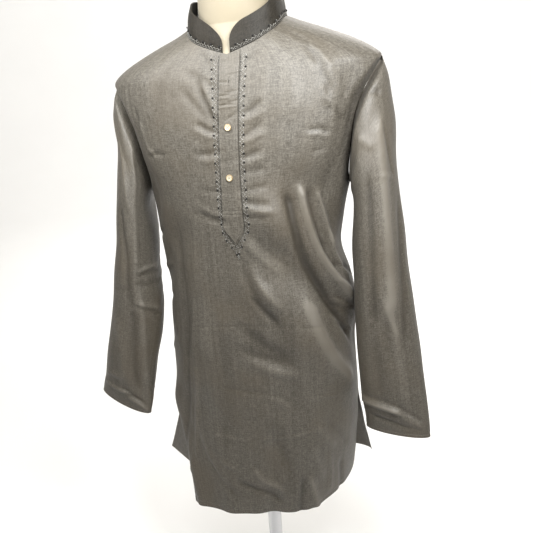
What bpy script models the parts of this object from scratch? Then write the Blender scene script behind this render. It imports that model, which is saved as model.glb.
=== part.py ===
"""Kurta tunic on a limbless dress form.

A long-sleeved kurta with a stand collar, a buttoned neck placket and two side slits hangs on a
smooth torso form with a short pole and a round base plate.  Everything is in metres, +Z up: the
floor is z = 0, the garment's front faces -Y and its wearer's left is +X.  Each piece that a maker
would cut and sew is one closed solid, a wall between an outer and an inner grid of points.
"""
from collections import namedtuple
from math import acos, asin, copysign, cos, degrees, exp, hypot, pi, radians, sin

import bmesh
import bpy
from mathutils import Vector

for old_object in list(bpy.data.objects):
    bpy.data.objects.remove(old_object, do_unlink=True)

# ---------------------------------------------------------------- driving dimensions
CLOTH = 0.0018               # wall of the doubled, hemmed cotton
SEAM_GAP = 0.0003            # between pieces that are sewn together
HEM = 0.358                  # height of the hem over the floor
SLIT_TOP = 0.565             # where the side seams end
ARMPIT = 0.965
SHOULDER = 1.150             # outer end of the shoulder seam
NECK_SIDE = 1.222            # shoulder seam at the collar
NECK_FRONT = 1.181           # centre front of the neckline
NECK_BACK = 1.206            # centre back of the neckline
SHOULDER_TILT = 0.062        # the wearer's left shoulder stands a little higher
TILT_FROM = 0.800            # the tilt grows from this height to the shoulder
COLLAR_HEIGHT = 0.038
COLLAR_WALL = 0.0022
PLACKET_WIDTH = 0.031
PLACKET_SHIFT = 0.004        # the strip laps over towards the wearer's left
PLACKET_WALL = 0.0016
PLACKET_END = 0.925          # where the placket starts to narrow
PLACKET_TIP = 0.900
BUTTON_RADIUS = 0.0053
BUTTON_THICK = 0.0024
BUTTON_RIM = 0.0006
BUTTON_HEIGHTS = (1.080, 1.006)
FORM_BOTTOM = 0.470
NECK_TOP = 1.335
POLE_RADIUS = 0.014
BASE_RADIUS = 0.150
BASE_THICK = 0.010
BASE_RIM = 0.002
SHARP_ANGLE = 50             # edges sharper than this many degrees stay sharp

# Horizontal sections of the hanging body, from hem to neck: half widths to the two side seams,
# how far back those seams lie, and where the centre front and centre back are.
BODY_COLUMNS = ("height", "half_right", "half_left", "seam_right", "seam_left", "front", "back")
BODY = (
    (0.358, 0.190, 0.165, -0.004, 0.050, -0.130, 0.134),
    (0.450, 0.182, 0.174, -0.002, 0.034, -0.125, 0.130),
    (0.530, 0.175, 0.178, 0.000, 0.020, -0.121, 0.124),
    (0.620, 0.172, 0.177, 0.000, 0.012, -0.119, 0.117),
    (0.720, 0.167, 0.175, 0.000, 0.006, -0.119, 0.107),
    (0.800, 0.166, 0.168, 0.000, 0.003, -0.119, 0.099),
    (0.870, 0.167, 0.157, 0.000, 0.000, -0.120, 0.097),
    (0.965, 0.173, 0.169, 0.000, 0.000, -0.122, 0.103),
    (1.035, 0.198, 0.199, 0.000, 0.000, -0.118, 0.108),
    (1.100, 0.215, 0.216, 0.000, 0.000, -0.108, 0.104),
    (1.150, 0.219, 0.221, 0.000, 0.000, -0.095, 0.092),
    (1.167, 0.203, 0.202, 0.000, 0.000, -0.089, 0.085),
    (1.183, 0.171, 0.172, 0.000, 0.000, -0.083, 0.080),
    (1.197, 0.136, 0.139, 0.000, 0.000, -0.077, 0.074),
    (1.210, 0.102, 0.105, 0.000, 0.000, -0.070, 0.067),
    (1.222, 0.076, 0.076, 0.000, 0.000, -0.062, 0.058),
)

# Where each hem corner hangs: how far it swings across and back from the side seam's line, and
# how far a turned-in flap goes on across and back from there.
SLIT_COLUMNS = ("across", "back", "flap_across", "flap_back")
SLIT_SWING = {
    ("front", -1): (0.061, -0.104, 0.0, 0.0),
    ("front", 1): (0.000, 0.010, 0.0, 0.0),
    ("back", -1): (-0.049, 0.056, 0.060, -0.048),
    ("back", 1): (0.034, 0.050, 0.0, 0.0),
}
FLAP_ANGLE = 18.0            # columns of a turned-in flap lie this far past the seam's line
SLIT_CURVE = 1.4             # the slits' edges swing faster near the hem

# Largest folds of the body: each runs from one point to another, given by the angle round the
# body in degrees (0 front, +90 wearer's left) and the height; width and rise are in metres.
Fold = namedtuple("Fold", "from_angle from_height to_angle to_height width rise")
FOLD_FADE = 1.6              # a fold fades past its ends over this many widths
FOLDS = (
    (22.0, 0.930, 80.0, 0.770, 0.032, 0.0110),
    (40.0, 0.975, 88.0, 0.865, 0.028, -0.0060),
    (16.0, 0.800, 68.0, 0.610, 0.034, 0.0090),
    (30.0, 0.860, 84.0, 0.690, 0.030, -0.0070),
    (54.0, 1.110, 58.0, 0.990, 0.024, -0.0060),
    (-54.0, 1.060, -60.0, 0.960, 0.024, -0.0050),
    (-40.0, 0.900, -80.0, 0.770, 0.030, -0.0060),
    (-30.0, 0.700, -62.0, 0.560, 0.034, 0.0060),
    (-62.0, 0.560, -58.0, 0.350, 0.028, 0.0060),
    (13.0, 0.500, 10.5, 0.340, 0.021, -0.0180),
    (40.0, 0.560, 36.0, 0.340, 0.032, 0.0050),
    (-20.0, 0.480, -22.0, 0.340, 0.030, 0.0060),
    (152.0, 0.930, 112.0, 0.780, 0.034, 0.0080),
    (-152.0, 0.920, -110.0, 0.760, 0.034, 0.0080),
    (168.0, 0.800, 146.0, 0.600, 0.034, -0.0070),
    (-168.0, 0.780, -140.0, 0.620, 0.034, -0.0070),
    (-172.0, 0.560, -170.0, 0.350, 0.034, 0.0090),
    (140.0, 0.520, 136.0, 0.350, 0.032, -0.0090),
    (-140.0, 0.520, -136.0, 0.350, 0.032, -0.0090),
)

# Sleeves below the armhole: the outer and inner points of each ring, half its depth, and how far
# its outline has changed from the armhole's (0) to an oval (1).
SleeveRing = namedtuple("SleeveRing", "outer_x outer_y outer_z inner_x inner_y inner_z depth oval")
SLEEVE_LEFT = (
    (0.2310, -0.003, 1.118, 0.1760, -0.003, 0.960, 0.062, 0.20),
    (0.2370, -0.006, 1.078, 0.1795, -0.006, 0.953, 0.066, 0.45),
    (0.2415, -0.010, 1.034, 0.1805, -0.010, 0.943, 0.069, 0.70),
    (0.2462, -0.014, 0.985, 0.1785, -0.014, 0.920, 0.069, 0.88),
    (0.2530, -0.019, 0.932, 0.1765, -0.018, 0.885, 0.067, 1.00),
    (0.2620, -0.026, 0.877, 0.1765, -0.023, 0.840, 0.064, 1.00),
    (0.2710, -0.034, 0.820, 0.1785, -0.028, 0.790, 0.060, 1.00),
    (0.2800, -0.043, 0.763, 0.1815, -0.033, 0.739, 0.055, 1.00),
    (0.2895, -0.053, 0.706, 0.1845, -0.038, 0.687, 0.049, 1.00),
    (0.2985, -0.064, 0.650, 0.1885, -0.043, 0.634, 0.042, 1.00),
    (0.3065, -0.075, 0.596, 0.1945, -0.047, 0.580, 0.034, 1.00),
    (0.3115, -0.084, 0.566, 0.1995, -0.050, 0.552, 0.028, 1.00),
    (0.3145, -0.092, 0.540, 0.2010, -0.052, 0.528, 0.022, 1.00),
)
SLEEVE_RIGHT = (
    (-0.2240, -0.003, 1.116, -0.1790, -0.003, 0.960, 0.062, 0.20),
    (-0.2258, -0.006, 1.076, -0.1825, -0.006, 0.951, 0.066, 0.45),
    (-0.2280, -0.010, 1.032, -0.1835, -0.010, 0.934, 0.069, 0.70),
    (-0.2320, -0.014, 0.983, -0.1810, -0.014, 0.908, 0.069, 0.88),
    (-0.2388, -0.018, 0.930, -0.1795, -0.018, 0.876, 0.067, 1.00),
    (-0.2465, -0.022, 0.875, -0.1800, -0.022, 0.836, 0.064, 1.00),
    (-0.2560, -0.026, 0.819, -0.1815, -0.028, 0.790, 0.060, 1.00),
    (-0.2668, -0.030, 0.763, -0.1790, -0.036, 0.740, 0.056, 1.00),
    (-0.2785, -0.034, 0.709, -0.1850, -0.046, 0.691, 0.050, 1.00),
    (-0.2912, -0.038, 0.657, -0.1965, -0.058, 0.642, 0.043, 1.00),
    (-0.3052, -0.040, 0.608, -0.2040, -0.070, 0.590, 0.035, 1.00),
    (-0.3140, -0.041, 0.582, -0.2065, -0.077, 0.562, 0.028, 1.00),
    (-0.3208, -0.042, 0.561, -0.2105, -0.083, 0.538, 0.021, 1.00),
)

# The form's neck over the shoulders: radii across and from front to back, and its centre.
NeckRing = namedtuple("NeckRing", "height across deep centre")
NECK = (
    (1.222, 0.0660, 0.0580, -0.003),
    (1.236, 0.0615, 0.0570, -0.006),
    (1.252, 0.0590, 0.0560, -0.009),
    (1.275, 0.0575, 0.0550, -0.013),
    (1.300, 0.0565, 0.0545, -0.017),
    (1.322, 0.0565, 0.0545, -0.020),
    (1.332, 0.0550, 0.0530, -0.021),
    (1.335, 0.0520, 0.0500, -0.021),
)
# The form stays this far inside the cloth's inner face at these heights.
CLEARANCE_COLUMNS = ("height", "clearance")
FORM_CLEARANCE = (
    (0.470, 0.0200),
    (0.600, 0.0160),
    (0.900, 0.0130),
    (1.050, 0.0100),
    (1.120, 0.0040),
    (1.155, 0.0014),
    (1.222, 0.0014),
)

FORM_HEIGHTS = (
    0.470, 0.478, 0.540, 0.620, 0.700, 0.780, 0.860, 0.940, 1.000, 1.050,
    1.090, 1.120, 1.142, 1.158, 1.172, 1.185, 1.197, 1.208, 1.217,
)
FORM_ENDS = 0.186            # half width between the form's armless shoulder ends
FORM_SQUARENESS = 10         # how abruptly the form's sides flatten at those ends

SKIRT_ROWS = 4               # hem to slit top
WAIST_ROWS = 13              # slit top to placket tip
ARMHOLE_ROWS = 10
SHOULDER_ROWS = 5
HALF_COLUMNS = 13            # from the centre line to one edge of a panel
ARMHOLE_DEPTH = 0.055        # half the armhole's width from front to back
COLLAR_ROWS = (0.0, 0.35, 0.70, 1.0)
COLLAR_LEAN = 0.22           # how far the collar leans in over its height
# The collar's two front ends: where each stands across the neckline, and the length and drop of
# its rounded corner.
CollarEnd = namedtuple("CollarEnd", "across length drop")
COLLAR_ENDS = {1: CollarEnd(0.0050, 0.026, 0.020), -1: CollarEnd(-0.0070, 0.050, 0.026)}
FORM_POINTS = 32


# ---------------------------------------------------------------- small tools
def column(names, table, name, at):
    """Read a column at any value of the table's first column, on a smooth curve."""
    index = names.index(name)
    keys = [row[0] for row in table]
    values = [row[index] for row in table]
    at = min(max(at, keys[0]), keys[-1])
    low = max(i for i in range(len(keys) - 1) if keys[i] <= at)
    span = keys[low + 1] - keys[low]

    def slope(i):
        before, after = max(i - 1, 0), min(i + 1, len(keys) - 1)
        return (values[after] - values[before]) / (keys[after] - keys[before])

    t = (at - keys[low]) / span
    return (values[low] * (2 * t**3 - 3 * t**2 + 1)
            + values[low + 1] * (3 * t**2 - 2 * t**3)
            + slope(low) * span * (t**3 - 2 * t**2 + t)
            + slope(low + 1) * span * (t**3 - t**2))


def smooth(t):
    t = min(max(t, 0.0), 1.0)
    return t * t * (3 - 2 * t)


def spread(start, end, count):
    return [start + (end - start) * i / count for i in range(count + 1)]


def material(name, colour, roughness, metallic=0.0):
    made = bpy.data.materials.new(name)
    made.use_nodes = True
    shader = made.node_tree.nodes["Principled BSDF"]
    shader.inputs["Base Color"].default_value = (*colour, 1.0)
    shader.inputs["Roughness"].default_value = roughness
    shader.inputs["Metallic"].default_value = metallic
    return made


collection = bpy.data.collections.new("kurta_tunic")
bpy.context.scene.collection.children.link(collection)


def place(name, bm, look):
    """Make a named object of a bmesh, facing out."""
    bmesh.ops.recalc_face_normals(bm, faces=bm.faces)
    if bm.calc_volume(signed=True) < 0.0:
        bmesh.ops.reverse_faces(bm, faces=bm.faces)
    mesh = bpy.data.meshes.new(name)
    bm.to_mesh(mesh)
    bm.free()
    mesh.materials.append(look)
    mesh.shade_smooth()
    mesh.set_sharp_from_angle(angle=radians(SHARP_ANGLE))
    made = bpy.data.objects.new(name, mesh)
    collection.objects.link(made)
    return made


def wall(name, outer, inner, look, closed=False):
    """A cloth wall between an outer and an inner grid of points (rows of equal length)."""
    bm = bmesh.new()
    skins = [[[bm.verts.new(point) for point in row] for row in skin] for skin in (outer, inner)]
    rows, points = len(outer), len(outer[0])
    turns = points if closed else points - 1
    for skin in skins:
        for r in range(rows - 1):
            for c in range(turns):
                d = (c + 1) % points
                bm.faces.new((skin[r][c], skin[r][d], skin[r + 1][d], skin[r + 1][c]))
    for r in (0, rows - 1):
        for c in range(turns):
            d = (c + 1) % points
            bm.faces.new((skins[0][r][c], skins[0][r][d], skins[1][r][d], skins[1][r][c]))
    if not closed:
        for c in (0, points - 1):
            for r in range(rows - 1):
                bm.faces.new((skins[0][r][c], skins[0][r + 1][c], skins[1][r + 1][c], skins[1][r][c]))
    bmesh.ops.triangulate(bm, faces=bm.faces)
    return place(name, bm, look)


# ---------------------------------------------------------------- the body's hanging shape
def body(name, height):
    return column(BODY_COLUMNS, BODY, name, height)


def below_slit(height):
    """Share of the way from the slit's top to the hem, growing faster near the hem."""
    return max((SLIT_TOP - height) / (SLIT_TOP - HEM), 0.0) ** SLIT_CURVE


def tilted(point):
    """Raise the wearer's left shoulder and lower the right one."""
    share = smooth((point.z - TILT_FROM) / (SHOULDER - TILT_FROM))
    return point + Vector((0.0, 0.0, SHOULDER_TILT * share * point.x))


def fold_rise(angle, height):
    """Sum of the folds at a point, each a soft ridge or trough that fades at its ends."""
    total = 0.0
    reach = 0.5 * (body("half_right", height) + body("half_left", height))
    for fold in map(Fold._make, FOLDS):
        across = radians(angle - fold.from_angle) * reach
        up = height - fold.from_height
        dx = radians(fold.to_angle - fold.from_angle) * reach
        dz = fold.to_height - fold.from_height
        length = hypot(dx, dz)
        along = (across * dx + up * dz) / length
        aside = (across * dz - up * dx) / length
        past_end = max(-along, along - length, 0.0)
        total += fold.rise * exp(-(aside / fold.width) ** 2
                                 - (past_end / (FOLD_FADE * fold.width)) ** 2)
    return total


def body_point(panel, angle, height, folded=True):
    """A point of the cloth's outer face: angle 0 is the centre front, +90 the wearer's left."""
    turn = radians(angle)
    side = 1 if turn >= 0 else -1
    half = body("half_left" if side > 0 else "half_right", height)
    seam = body("seam_left" if side > 0 else "seam_right", height)
    across, back, flap_across, flap_back = SLIT_SWING[panel, side]
    half += side * across * below_slit(height)
    seam += back * below_slit(height)
    from_middle = abs(angle) if panel == "front" else 180.0 - abs(angle)
    if flap_across and from_middle > 90.0 and height < SLIT_TOP:
        share = below_slit(height) * (from_middle - 90.0) / FLAP_ANGLE
        return Vector((side * half + flap_across * share, seam + flap_back * share, height))
    middle = body("front" if abs(turn) <= pi / 2 else "back", height)
    x = half * sin(turn)
    y = seam + (middle - seam) * abs(cos(turn))
    if folded:
        rise = fold_rise(angle, height)
        x += rise * sin(turn)
        y -= rise * cos(turn)
    return tilted(Vector((x, y, height)))


def body_normal(panel, angle, height, folded=True):
    """Outward direction of the body's surface, from its slopes round and up."""
    turn, lift = 0.4, 0.002
    left = body_point(panel, angle + turn, height, folded)
    right = body_point(panel, angle - turn, height, folded)
    above = body_point(panel, angle, height + lift, folded)
    below = body_point(panel, angle, height - lift, folded)
    return (left - right).cross(above - below).normalized()


# ---------------------------------------------------------------- front and back panels
def edge_angle(panel, side, height):
    """How far round from its own middle a panel reaches at this height, in degrees."""
    if ARMPIT < height < SHOULDER:
        from_centre = 2 * (height - ARMPIT) / (SHOULDER - ARMPIT) - 1
        deep = ARMHOLE_DEPTH * (1 - from_centre ** 2) ** 0.5
        return degrees(acos(deep / abs(body(panel, height))))
    flap = SLIT_SWING[panel, side][SLIT_COLUMNS.index("flap_across")]
    if flap and height < SLIT_TOP:
        return 90.0 + FLAP_ANGLE
    return 90.0 - degrees(0.5 * SEAM_GAP / abs(body(panel, height)))


def row_angles(panel, height, edge_height):
    """A row's columns from its own middle; the placket's edges and middle are columns too."""
    half = 0.5 * (body("half_left", height) + body("half_right", height))
    strip = [degrees(asin((PLACKET_SHIFT + step * PLACKET_WIDTH) / half)) for step in (-0.5, 0.0, 0.5)]
    right = spread(-edge_angle(panel, -1, edge_height), strip[0], HALF_COLUMNS - 1)
    left = spread(strip[2], edge_angle(panel, 1, edge_height), HALF_COLUMNS - 1)
    return right + [strip[1]] + left


def neckline(panel, angle):
    """Height of the neckline at an angle from the panel's own middle."""
    low = NECK_FRONT if panel == "front" else NECK_BACK
    return low + (NECK_SIDE - low) * (1.0 - (1.0 - min(abs(angle) / 90.0, 1.0)) ** 2)


def plain_heights():
    """Heights of the rows below the shoulder point, shared by both panels and the sleeves."""
    heights = spread(HEM, SLIT_TOP, SKIRT_ROWS)
    heights += spread(SLIT_TOP, PLACKET_TIP, WAIST_ROWS)[1:]
    heights += [PLACKET_END, ARMPIT]
    for row in range(1, ARMHOLE_ROWS + 1):
        share = 0.5 - 0.5 * cos(pi * row / ARMHOLE_ROWS)
        heights.append(ARMPIT + (SHOULDER - ARMPIT) * share)
    return heights


def panel_grid(panel):
    """Angle and height of every point of a panel, row by row from hem to neckline."""
    grid = [[(angle, height) for angle in row_angles(panel, height, height)]
            for height in plain_heights()]
    for share in spread(0.0, 1.0, SHOULDER_ROWS)[1:]:
        seam_height = SHOULDER + (NECK_SIDE - SHOULDER) * share
        middle_height = SHOULDER + (neckline(panel, 0.0) - SHOULDER) * share
        grid.append([(angle, SHOULDER + (neckline(panel, angle) - SHOULDER) * share)
                     for angle in row_angles(panel, middle_height, seam_height)])
    if panel == "back":
        grid = [[(copysign(180.0, angle) - angle, height) for angle, height in row] for row in grid]
    return grid


def panel_skins(panel, lift=0.0, thick=CLOTH):
    """Outer and inner points of a panel, moved out by lift."""
    outer, inner = [], []
    for row in panel_grid(panel):
        places = [(body_point(panel, *spot), body_normal(panel, *spot)) for spot in row]
        outer.append([point + normal * lift for point, normal in places])
        inner.append([point + normal * (lift - thick) for point, normal in places])
    return outer, inner


# ---------------------------------------------------------------- sleeves
def armhole_loop(side, skins):
    """Outer and inner points round one armhole: shoulder, down the front, armpit, up the back."""
    first = SKIRT_ROWS + WAIST_ROWS + 2
    edge = -1 if side > 0 else 0
    rows = range(first, first + ARMHOLE_ROWS + 1)
    loops = []
    for front, back in zip(skins["front"], skins["back"]):
        front = [front[r][edge] for r in rows]
        back = [back[r][edge] for r in rows]
        top, bottom = (front[-1] + back[-1]) / 2, (front[0] + back[0]) / 2
        loops.append([top] + front[-2:0:-1] + [bottom] + back[1:-1])
    return loops


def sleeve_skins(side, table, skins):
    """Rings of a sleeve from the armhole to the cuff; the first lies a seam's gap off the body."""
    outer_loop, inner_loop = armhole_loop(side, skins)
    count = len(outer_loop)
    away = []
    for k in range(count):
        along = outer_loop[(k + 1) % count] - outer_loop[k - 1]
        away.append(along.cross(inner_loop[k] - outer_loop[k]).normalized() * side)
    start = [point + off * SEAM_GAP for point, off in zip(outer_loop, away)]

    ends = [(outer_loop[0], outer_loop[count // 2], ARMHOLE_DEPTH, 0.0)]
    for row in map(SleeveRing._make, table):
        high = tilted(Vector((row.outer_x, row.outer_y, row.outer_z)))
        low = tilted(Vector((row.inner_x, row.inner_y, row.inner_z)))
        ends.append((high, low, row.depth, row.oval))
    middles = [(high + low) / 2 for high, low, _, _ in ends]
    rings = []
    for r, (high, low, depth, oval) in enumerate(ends):
        centre, across = middles[r], (high - low) / 2
        axis = middles[min(r + 1, len(ends) - 1)] - middles[max(r - 1, 0)]
        front = axis.cross(across).normalized() * (depth * side)
        out = across.cross(front).normalized()
        if r == 0:
            shape = [((p - centre).dot(across) / across.length_squared,
                      (p - centre).dot(front) / front.length_squared,
                      (p - centre).dot(out)) for p in start]
        ring = []
        for k, (a, b, c) in enumerate(shape):
            turn = 2 * pi * k / count
            a += (cos(turn) - a) * oval
            b += (sin(turn) - b) * oval
            ring.append(centre + across * a + front * b + out * c * (1.0 - oval))
        rings.append(ring)
    rings[0] = start

    inner = []
    for r, ring in enumerate(rings):
        above, below = rings[max(r - 1, 0)], rings[min(r + 1, len(rings) - 1)]
        row = []
        for k in range(count):
            round_on = ring[(k + 1) % count] - ring[k - 1]
            inward = (below[k] - above[k]).cross(round_on).normalized() * side
            if r == 0:
                # the wall's end never leans back over the body it is sewn to
                inward -= away[k] * min(inward.dot(away[k]), 0.0)
            row.append(ring[k] + inward.normalized() * CLOTH)
        inner.append(row)
    return rings, inner


# ---------------------------------------------------------------- collar
def point_at(row, x):
    """Where a row of points, running from right to left, crosses a distance across."""
    for here, there in zip(row, row[1:]):
        if here.x <= x < there.x:
            return here.lerp(there, (x - here.x) / (there.x - here.x))
    raise ValueError(x)


def collar_skins(skins):
    """A standing band on the neckline, from one front corner round the back to the other."""
    front, back = (skins[panel][0][-1] for panel in ("front", "back"))
    left_end, right_end = (point_at(front, COLLAR_ENDS[side].across) for side in (1, -1))
    base = [left_end] + [p for p in front[:-1] if p.x > left_end.x] + [(front[-1] + back[-1]) / 2]
    base += back[-2:0:-1] + [(front[0] + back[0]) / 2]
    base += [p for p in front[1:] if p.x < right_end.x] + [right_end]
    run = [0.0]
    for here, there in zip(base, base[1:]):
        run.append(run[-1] + (there - here).length)
    outer, inner = [], []
    for share in COLLAR_ROWS:
        outer.append([])
        inner.append([])
        for k, point in enumerate(base):
            ahead = base[min(k + 1, len(base) - 1)] - base[max(k - 1, 0)]
            out = Vector((ahead.y, -ahead.x, 0.0)).normalized()
            end = COLLAR_ENDS[1 if run[k] < 0.5 * run[-1] else -1]
            from_end = min(run[k], run[-1] - run[k]) / end.length
            corner = end.drop * (1.0 - (1.0 - (1.0 - min(from_end, 1.0)) ** 2) ** 0.5)
            height = SEAM_GAP + (COLLAR_HEIGHT - corner) * share
            rise = (Vector((0.0, 0.0, 1.0)) - out * COLLAR_LEAN).normalized()
            outer[-1].append(point + rise * height)
            inner[-1].append(outer[-1][-1] - out * COLLAR_WALL)
    return outer, inner


# ---------------------------------------------------------------- placket and buttons
def placket(look):
    """The strip over the front opening: the panel's three middle columns, moved out, to a point."""
    lifted = panel_skins("front", SEAM_GAP + PLACKET_WALL, PLACKET_WALL)
    tip_row = SKIRT_ROWS + WAIST_ROWS
    bm = bmesh.new()
    middle = HALF_COLUMNS
    skins = []
    for skin in lifted:
        rows = [[bm.verts.new(row[middle + step]) for step in (-1, 0, 1)]
                for row in skin[tip_row + 1:]]
        skins.append((bm.verts.new(skin[tip_row][middle]), rows))
    (outer_tip, outer), (inner_tip, inner) = skins
    for tip, rows in skins:
        for here, there in zip(rows, rows[1:]):
            bm.faces.new((here[0], here[1], there[1], there[0]))
            bm.faces.new((here[1], here[2], there[2], there[1]))
        bm.faces.new((tip, rows[0][1], rows[0][0]))
        bm.faces.new((tip, rows[0][2], rows[0][1]))
    rim = [(outer_tip, inner_tip)] + [(o[2], i[2]) for o, i in zip(outer, inner)]
    rim += [(outer[-1][1], inner[-1][1])]
    rim += [(o[0], i[0]) for o, i in zip(reversed(outer), reversed(inner))]
    for (o, i), (o_next, i_next) in zip(rim, rim[1:] + rim[:1]):
        bm.faces.new((o, o_next, i_next, i))
    bmesh.ops.triangulate(bm, faces=bm.faces)
    return place("placket", bm, look)


def button(number, height, look):
    """A flat round button, a seam's gap off the placket's middle."""
    angle = row_angles("front", height, height)[HALF_COLUMNS]
    normal = body_normal("front", angle, height)
    seat = body_point("front", angle, height) + normal * (2 * SEAM_GAP + PLACKET_WALL)
    bm = bmesh.new()
    bmesh.ops.create_cone(bm, cap_ends=True, segments=20, radius1=BUTTON_RADIUS,
                          radius2=BUTTON_RADIUS, depth=BUTTON_THICK)
    made = place(f"button_{number}", bm, look)
    made.rotation_mode = "QUATERNION"
    made.rotation_quaternion = normal.to_track_quat("Z", "Y")
    made.location = seat + normal * (0.5 * BUTTON_THICK)
    bevel = made.modifiers.new("rim", "BEVEL")
    bevel.width = BUTTON_RIM
    bevel.segments = 1
    bevel.limit_method = "ANGLE"
    bevel.angle_limit = radians(SHARP_ANGLE)
    return made


# ---------------------------------------------------------------- dress form and stand
def form_rings():
    """Rings of the torso inside the cloth, then of the neck, from the bottom up."""
    rings = []
    for height in FORM_HEIGHTS:
        clear = CLOTH + column(CLEARANCE_COLUMNS, FORM_CLEARANCE, "clearance", height)
        ring = []
        for k in range(FORM_POINTS):
            angle = 360.0 * k / FORM_POINTS
            angle = angle - 360.0 if angle > 180.0 else angle
            panel = "front" if abs(angle) <= 90.0 else "back"
            top = body_point(panel, angle, height, folded=False)
            point = top - body_normal(panel, angle, height, folded=False) * clear
            point.x /= (1.0 + abs(point.x / FORM_ENDS) ** FORM_SQUARENESS) ** (1 / FORM_SQUARENESS)
            if height < ARMPIT:
                point.z = height
            ring.append(point)
        rings.append(ring)
    for row in map(NeckRing._make, NECK):
        ease = SHOULDER_TILT * (NECK_TOP - row.height) / (NECK_TOP - NECK_SIDE)
        ring = []
        for k in range(FORM_POINTS):
            turn = 2 * pi * k / FORM_POINTS
            x = row.across * sin(turn)
            ring.append(Vector((x, row.centre - row.deep * cos(turn), row.height + ease * x)))
        rings.append(ring)
    return rings


def form_torso(look):
    bm = bmesh.new()
    rings = [[bm.verts.new(point) for point in ring] for ring in form_rings()]
    for low, high in zip(rings, rings[1:]):
        for k in range(FORM_POINTS):
            n = (k + 1) % FORM_POINTS
            bm.faces.new((low[k], low[n], high[n], high[k]))
    bm.faces.new(rings[0])
    bm.faces.new(rings[-1])
    bmesh.ops.triangulate(bm, faces=bm.faces)
    return place("form_torso", bm, look)


def turned(name, segments, radius, low, high, look, rim=0.0):
    """A round bar or plate standing on z = low."""
    bm = bmesh.new()
    bmesh.ops.create_cone(bm, cap_ends=True, segments=segments, radius1=radius, radius2=radius,
                          depth=high - low)
    bmesh.ops.translate(bm, verts=bm.verts, vec=(0.0, 0.0, (high + low) / 2))
    if rim:
        edges = [e for e in bm.edges if all(v.co.z > (high + low) / 2 for v in e.verts)]
        bmesh.ops.bevel(bm, geom=edges, offset=rim, segments=1, affect="EDGES")
    return place(name, bm, look)


# ---------------------------------------------------------------- the whole object
def build():
    cotton = material("grey_cotton", (0.30, 0.29, 0.27), 0.75)
    band = material("grey_cotton_band", (0.26, 0.25, 0.235), 0.75)
    shell = material("cream_button", (0.80, 0.74, 0.62), 0.35)
    cream = material("cream_form", (0.78, 0.74, 0.66), 0.55)
    steel = material("brushed_steel", (0.55, 0.55, 0.56), 0.35, 1.0)

    skins = {panel: panel_skins(panel) for panel in ("front", "back")}
    wall("front_panel", *skins["front"], cotton)
    wall("back_panel", *skins["back"], cotton)
    wall("sleeve_left", *sleeve_skins(1, SLEEVE_LEFT, skins), cotton, closed=True)
    wall("sleeve_right", *sleeve_skins(-1, SLEEVE_RIGHT, skins), cotton, closed=True)
    wall("collar", *collar_skins(skins), band)
    placket(band)
    for number, height in enumerate(BUTTON_HEIGHTS, 1):
        button(number, height, shell)
    form_torso(cream)
    turned("pole", 24, POLE_RADIUS, BASE_THICK + SEAM_GAP, FORM_BOTTOM - SEAM_GAP, steel)
    turned("base_plate", 48, BASE_RADIUS, 0.0, BASE_THICK, steel, rim=BASE_RIM)


build()
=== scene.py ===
# %% [markdown]
# # A kurta tunic on a limbless dress form
# A kurta is a long loose shirt with a standing collar, a short buttoned opening and slits at the
# sides. This one is cut from grey chambray and hangs on a cream dress form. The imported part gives
# the frame: every piece below is made in metres, where the part says it is, and replaces the
# plainer solid there.

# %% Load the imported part
import math
from collections import namedtuple

import bmesh
import bpy
import numpy as np
from mathutils import Matrix, Vector


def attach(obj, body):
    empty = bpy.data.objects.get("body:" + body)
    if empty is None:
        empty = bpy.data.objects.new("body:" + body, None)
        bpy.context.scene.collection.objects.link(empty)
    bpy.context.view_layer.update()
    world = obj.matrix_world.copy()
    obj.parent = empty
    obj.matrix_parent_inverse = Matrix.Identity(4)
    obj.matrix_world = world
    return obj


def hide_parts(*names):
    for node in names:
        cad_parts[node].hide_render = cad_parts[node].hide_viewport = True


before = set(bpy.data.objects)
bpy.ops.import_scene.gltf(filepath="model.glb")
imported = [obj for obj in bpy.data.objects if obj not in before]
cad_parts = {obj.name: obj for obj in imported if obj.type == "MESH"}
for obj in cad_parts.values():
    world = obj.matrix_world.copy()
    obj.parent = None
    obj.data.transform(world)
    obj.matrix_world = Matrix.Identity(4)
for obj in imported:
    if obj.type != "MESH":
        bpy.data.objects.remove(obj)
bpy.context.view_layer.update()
print("nodes:", ", ".join(sorted(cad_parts)))

# %% [markdown]
# ## The camera and the light
# The garment is seen from a little above and from its left. Soft panels hang near it, above
# the chest, so the chest and shoulders are pale and the skirt is darker. A dim warm sky fills
# the shadows, and a panel turned to the wall behind keeps that pale.

# %% The camera
CAMERA_TURN, CAMERA_LIFT, CAMERA_ROLL = 13.8, 23.4, -3.65      # degrees
CAMERA_DISTANCE = 1.20
LOOKS_AT = Vector((0.025, 0.0, 0.765))
FRAME_PIXELS, FOCAL_PIXELS = 533, 658
CENTRE_PIXELS = (271.9, 291.4)
SENSOR = 36.0                    # its width, in millimetres

turn, lift, roll = (math.radians(a) for a in (CAMERA_TURN, CAMERA_LIFT, CAMERA_ROLL))
back = Vector((math.sin(turn) * math.cos(lift), -math.cos(turn) * math.cos(lift), math.sin(lift)))
level = back.cross(Vector((0.0, 0.0, -1.0))).normalized()
upright = back.cross(level)
right = level * math.cos(roll) + upright * math.sin(roll)
up = upright * math.cos(roll) - level * math.sin(roll)

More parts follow.
